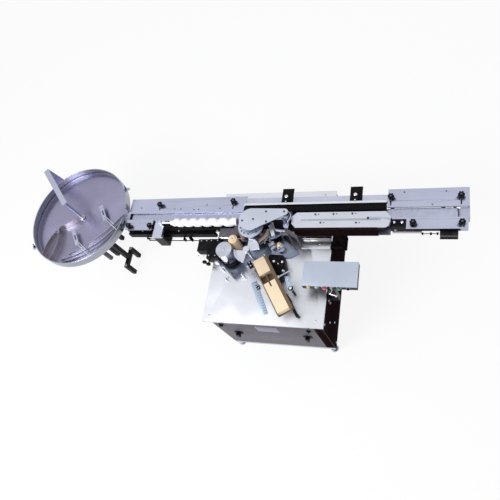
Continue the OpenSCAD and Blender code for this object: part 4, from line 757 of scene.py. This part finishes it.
# Label head: screws, the sponge by the drum, links and levers
b = Build()
for x, y in ((-190, 186), (-95, 199), (8, 268), (22, 175), (164, 265)):
    b.at(x, y, 1000).cap_screw(9, 4)
b.done("top_plate_screws", "dark_steel", "machine")
b = Build()
for x, y in ((-212, 140), (-198, 111), (-172, 93), (-135, 83), (-68, 102), (-82, 139)):
    b.at(x, y, 955).cap_screw(7, 4)
b.done("drum_screws", "dark_steel", "gripper_drum")
b = Build()
b.at(0, 0, 0).prism(arc(*DRUM, 151, -58, -4) + arc(*DRUM, 132, -4, -58), 870, 904)
b.done("drum_sponge", "sponge", "machine", 1.5)
b = Build()
b.prism(arc(*DRUM, 157, -60, -2) + arc(*DRUM, 151.2, -2, -60), 862, 908)
b.at(20, 105, DECK).lathe([(7, 0), (7, 21)], 20)
b.at(-17, 55, DECK).lathe([(7, 0), (7, 21)], 20)
b.done("sponge_holder", "strip_tan", "machine", 0.8)
b = Build()
b.at(0, 0, 0).prism(band([(27, 186), (52, 138), (72, 86)], 30), 910, 917)
bent_arm = curve_points([(38, 217, 0), (52, 178, 0), (74, 152, 0), (110, 146, 0), (162, 141, 0)])
b.prism(band(bent_arm, 18), 886, 896)
for x, y in ((58, 122), (110, 147)):
    b.at(x, y, DECK).lathe([(7, 0), (7, 48)], 20)
b.at(58, 122, 889).lathe([(7, 0), (7, 22)], 20)
b.done("link_arms", "plate_white", "machine", 0.8)
b = Build()
b.at(0, 0, 0).prism([(124, 252), (160, 256), (196, 186), (190, 146), (152, 160)], 922, 927)
b.tube(curve_points([(128, 262, 960), (150, 272, 962), (185, 281, 962), (212, 246, 960),
                     (196, 200, 958), (180, 180, 930)]), 5)
b.at(176, 180, 920).lathe([(7, 0), (7, 20), (5, 22)], 20)
b.done("spring_lever", "guide_steel", "machine", 0.6)
b = Build()
b.at(0, 0, 0).tube([(-444, 103, 846), (-300, 96, 846), (-228, 92, 846)], 5)
b.at(-228, 92, DECK).lathe([(8, 0), (8, 12)], 20)
b.at(-436, 103, 827.5).lathe([(8, 0), (8, 26)], 20)
b.done("cross_shaft", "chrome", "machine")
b = Build()
b.at(*PICKER, 927.2).lathe([(20, 0), (20, 9), (17, 10.5), (15, 10.5), (15, 6), (0.01, 6)], 32)
b.done("picker_bearing", "chrome", "picker_rotor")
b = Build()
b.at(*PICKER, 933.4).lathe([(14.5, 0), (14.5, 1.5), (8, 2), (8, 4), (0.01, 4)], 6)
b.done("picker_nut", "drive_black", "picker_rotor")
b = Build()
b.at(*GLUE_DRUM, 940).hexagon(9, 7, 15)
b.at(*GLUE_ROLLER, 950).hexagon(7, 5, 12)
b.done("spindle_nuts", "stainless", "machine")

b = Build()
b.at(*GLUE_DRUM, 765.2).lathe([(26, 0), (84, 0), (84, 9), (80, 12.5), (26, 12.5), (26, 0)], 48)
b.at(*GLUE_ROLLER, 765.2).lathe([(20, 0), (46, 0), (46, 9), (43, 12.5), (20, 12.5), (20, 0)], 40)
b.done("drum_bases", "drive_black", "machine")

# Valves: collars, a brass fitting and ports; the cam box's caps
b = Build()
for x, y in ((30, 60), (108, 36)):
    b.at(x, y, 740).lathe([(31, 0), (32, 2), (32, 8), (31, 10), (31, 20), (32, 22), (32, 30), (31, 32)], 40)
b.at(22, 72, 840).cap_screw(6, 4)
b.at(40, 50, 840).cap_screw(6, 4)
b.done("valve_collars", "stainless", "machine")
b = Build()
b.at(104, 46, 834).hexagon(15, 12, 19)
b.at(104, 46, 846).lathe([(9, 0), (9, 5), (7, 7), (7, 9), (4, 9), (0.01, 9)], 24)
b.done("valve_fitting", "brass", "machine")
b = Build()
for x, y, r in ((76, -103, 13), (150, -106, 11), (118, -125, 8), (168, -185, 13), (60, -200, 10)):
    b.at(x, y, 815.5).lathe([(r, 0), (r, 14), (r * 0.8, 17), (r * 0.45, 19), (0.01, 19)], 24)
b.done("cam_caps", "chrome", "machine")

# Beside the magazine: lever with its knob, dark bar, gate block, hooks, scale clamp and ticks
b = Build()
b.at(0, 0, 0).prism([(196, -244), (228, -240), (264, -304), (290, -345), (264, -372), (226, -332)], 846, 856)
b.at(212, -262, 719.5).lathe([(8, 0), (8, 127)], 20)
b.at(226, -276, 856).cap_screw(10, 7)
b.done("side_lever", "scale_plate", "machine", 1.0)
b = Build()
b.at(266, -350, 719.5).lathe([(9, 0), (9, 127)], 20)
b.at(266, -350, 856).lathe([(11, 0), (11, 6), (19, 10), (21, 16), (18, 24), (12, 27)], 32)
b.done("side_knob", "knob_black", "machine")
b = Build()
b.at(266, -350, 883).lathe([(12, 0), (11, 2), (7, 4), (0.01, 4.5)], 24)
b.done("side_knob_cap", "chrome", "machine")
b = Build()
b.at(0, 0, 0).prism(band([(220, -386), (332, -561)], 22), 800, 838)
for x, y in ((234, -408), (316, -536)):
    b.at(x, y, 719.5).lathe([(12, 0), (12, 81)], 20)
    b.at(x, y, 838).cap_screw(7, 5)
b.done("magazine_bar", "drive_black", "machine", 1.5)
magazine = Matrix.Translation((-36, -115, 0)) @ Matrix.Rotation(paper_turn, 4, "Z")
b = Build()
b.place = magazine
b.box((-34, -98, 842), (22, -59.2, 872))
b.box((60, -66, 842), (86, -59.2, 880))
b.done("gate_block", "drive_black", "machine", 1.5)
b = Build()
for u, v in ((-22, -80), (8, -80)):
    p = magazine @ Vector((u, v, 872))
    b.at(*p).dome(7, 5)
for v in (-54, 62):
    b.place = magazine
    b.box((-9, v - 5, 894.3), (6, v + 5, 900))
    b.box((-9, v - 5 + (9 if v < 0 else -9), 880), (-5, v + 5 + (9 if v < 0 else -9), 900))
b.done("gate_hooks", "stainless", "machine", 0.5)
scale = Matrix.Translation((-130, -262, 0)) @ Matrix.Rotation(math.radians(-63.4), 4, "Z")
b = Build()
b.place = scale
for i in range(13):
    u = 315 / 13 * (i + 0.5)
    b.box((u - 1.4, 22, 723.9), (u + 1.4, 44, 724.5))
b.done("scale_ticks", "ticks", "machine")
b = Build()
b.place = scale
b.box((44, 30, 724), (80, 60, 735))
b.done("scale_clamp", "drive_black", "machine", 1.0)
b = Build()
for u in (53, 71):
    for v in (38, 52):
        b.at(*(scale @ Vector((u, v, 735)))).dome(4.5, 3)
b.done("clamp_dots", "chrome", "machine")

# By the gearbox: two adjusting knobs, a steel block and posts
b = Build()
b.at(-576, -80, 768, tip=(0, -1, 0)).lathe([(6, 0), (6, 8), (19, 9), (21, 24), (16, 28), (0.01, 28)], 24)
b.at(-534, -80, 768, tip=(0, -1, 0)).lathe([(6, 0), (6, 26), (19, 27), (21, 42), (16, 46), (0.01, 46)], 24)
b.done("adjusting_knobs", "knob_black", "machine")
b = Build()
b.at(0, 0, 0).box((-474, -112, 742), (-438, -80.2, 782))
b.at(-456, -96, 782).dome(8, 6)
for x, y in ((-358, -240), (-404, -150), (-210, -200)):
    b.at(x, y, TABLE).lathe([(11, 0), (11, 26), (8, 30), (8, 44), (5, 46), (0.01, 46)], 24)
b.done("base_posts", "plate_white", "machine", 0.8)
b = Build()
for x in (-620, -570, -520, -460):
    for y in (-60, 84):
        b.at(x, y, 828 if x > -544 else 820).cap_screw(6, 4)
b.done("gearbox_screws", "stainless", "machine")

# Control box: lid, bezels, lamp lenses, clamp lever and mounting screws
b = Build()
b.at(0, 0, 0).box((368.4, -353.2, 950), (791.6, -150, 951.6))
b.box((368.4, -353.2, 940), (791.6, -351.7, 950))
b.box((368.4, -151.3, 940), (791.6, -150, 950))
b.box((368.4, -353.2, 940), (369.8, -150, 950))
b.done("box_lid", "lid_steel", "machine", 0.5)
b = Build()
for x, r in ((417, 16), (481, 16), (543, 21), (598, 17), (651, 21), (723, 13)):
    ring = [(r, 0), (r, 1.2), (r - 1, 2.0), (r * 0.8, 2.0), (r * 0.8, 0), (r, 0)]
    b.at(x, -351.6, 924, tip=(0, -1, 0)).lathe(ring, 32)
b.done("button_bezels", "chrome", "machine")
for tag, x in (("yellow", 417), ("white", 481)):
    b = Build()
    b.at(x, -351.6, 924, tip=(0, -1, 0)).lathe([(11.6, 0), (11.6, 7), (10.5, 9), (6, 10.5), (0.01, 11)], 32)
    b.done("lamp_lens_" + tag, "lamp_" + tag, "machine")
b = Build()
b.at(0, 0, 0).tube(curve_points([(585, -338, 850), (578, -356, 850), (572, -372, 852), (592, -382, 853),
                                 (616, -388, 853)]), 8)
b.at(616, -388, 853, tip=(1, -0.2, 0)).lathe([(8, 0), (12, 4), (13, 10), (10, 16), (0.01, 18)], 24)
for y in (-354, -286):
    for z in (566, 634):
        b.at(520, y, z, tip=(1, 0, 0)).hexagon(8, 6, 11)
b.done("clamp_lever", "stainless", "machine")

# Turntable: wing nuts of the rim clips, screws of the slotted plates, collar and stand bolts
b = Build()
for a in (31, 220):
    c, s = math.cos(math.radians(a)), math.sin(math.radians(a))
    b.at(TURNTABLE[0] + 534 * c, TURNTABLE[1] + 534 * s, 916, a)
    b.lathe([(8, 0), (8, 9), (6, 11), (0.01, 11)], 20)
    b.box((-3, 6, 3), (3, 24, 20))
    b.box((-3, -24, 3), (3, -6, 20))
b.done("wing_nuts", "drive_black", "machine", 1.2)
b = Build()
for x, y in SLOTTED_PLATES:
    for u in (-70, 70):
        angle = math.radians(SLOTTED_TURN)
        c, s = math.cos(angle), math.sin(angle)
        b.at(x + u * c, y + u * s, 897).cap_screw(6, 4)
b.done("slot_plate_screws", "stainless", "machine")
b = Build()
for x, y in SLOTTED_PLATES:
    b.at(x, y, 893.4, SLOTTED_TURN).box((-27, -6, 0), (27, 6, 4.4))
b.done("slot_plate_slides", "ticks", "machine", 0.5)
b = Build()
b.at(*TURNTABLE, 853.4).lathe([(32, 0), (32, 14), (29, 17), (17, 17.5)], 36)
b.at(-1948, 284, 862, tip=(0, -1, 0)).cap_screw(5, 4)
b.done("post_collar", "stainless", "machine")
b = Build()
for x, y in ((-1787, 190), (-2063, 402)):
    for dy in (-97, 97):
        b.at(x, y + dy, 190).hexagon(11, 8, 16)
b.done("stand_bolts", "stainless", "machine")

# Floor, world and lamps
floor_mesh = bpy.data.meshes.new("floor")
floor_mesh.from_pydata([(x * FLOOR_HALF, y * FLOOR_HALF, -FLOOR_DROP)
                        for x, y in ((-1, -1), (1, -1), (1, 1), (-1, 1))], [], [(0, 1, 2, 3)])
floor = bpy.data.objects.new("floor", floor_mesh)
scene.collection.objects.link(floor)
paint = bpy.data.materials.new("floor")
paint.use_nodes = True
tree = paint.node_tree
pale = tree.nodes["Principled BSDF"]
pale.inputs["Base Color"].default_value = (0.9, 0.9, 0.9, 1.0)
pale.inputs["Roughness"].default_value = 0.9
glow = add(tree, "ShaderNodeEmission", Strength=1.0)
rays = tree.nodes.new("ShaderNodeLightPath")
seen = math_node(tree, "MAXIMUM", rays.outputs["Is Camera Ray"], rays.outputs["Is Glossy Ray"])
share = math_node(tree, "MULTIPLY", seen, FLOOR_GLOW)
both = tree.nodes.new("ShaderNodeMixShader")
tree.links.new(share, both.inputs[0])
tree.links.new(pale.outputs[0], both.inputs[1])
tree.links.new(glow.outputs[0], both.inputs[2])
tree.links.new(both.outputs[0], tree.nodes["Material Output"].inputs["Surface"])
floor_mesh.materials.append(paint)

world = bpy.data.worlds.new("studio")
scene.world = world
world.use_nodes = True
tree = world.node_tree
sky = tree.nodes["Background"]
sky.inputs["Color"].default_value = (0.97, 0.98, 1.0, 1.0)
sky.inputs["Strength"].default_value = SKY_STRENGTH
bright = add(tree, "ShaderNodeBackground", Color=(1.0, 1.0, 1.0, 1.0), Strength=1.0)
rays = tree.nodes.new("ShaderNodeLightPath")
seen = math_node(tree, "MAXIMUM", rays.outputs["Is Camera Ray"], rays.outputs["Is Glossy Ray"])
seen = math_node(tree, "MAXIMUM", seen, rays.outputs["Is Transmission Ray"])
both = tree.nodes.new("ShaderNodeMixShader")
tree.links.new(seen, both.inputs[0])
tree.links.new(sky.outputs[0], both.inputs[1])
tree.links.new(bright.outputs[0], both.inputs[2])
tree.links.new(both.outputs[0], tree.nodes["World Output"].inputs["Surface"])


def lamp(name, place, goal, size, power):
    """A square area lamp that points at a goal, in metres."""
    data = bpy.data.lights.new(name, "AREA")
    data.size = size
    data.energy = power
    one = bpy.data.objects.new(name, data)
    one.location = place
    one.rotation_euler = (Vector(goal) - Vector(place)).to_track_quat("-Z", "Y").to_euler()
    scene.collection.objects.link(one)


lamp("key", (-2.0, -3.2, 4.6), (0.0, 0.0, 0.8), 2.4, 190.0)
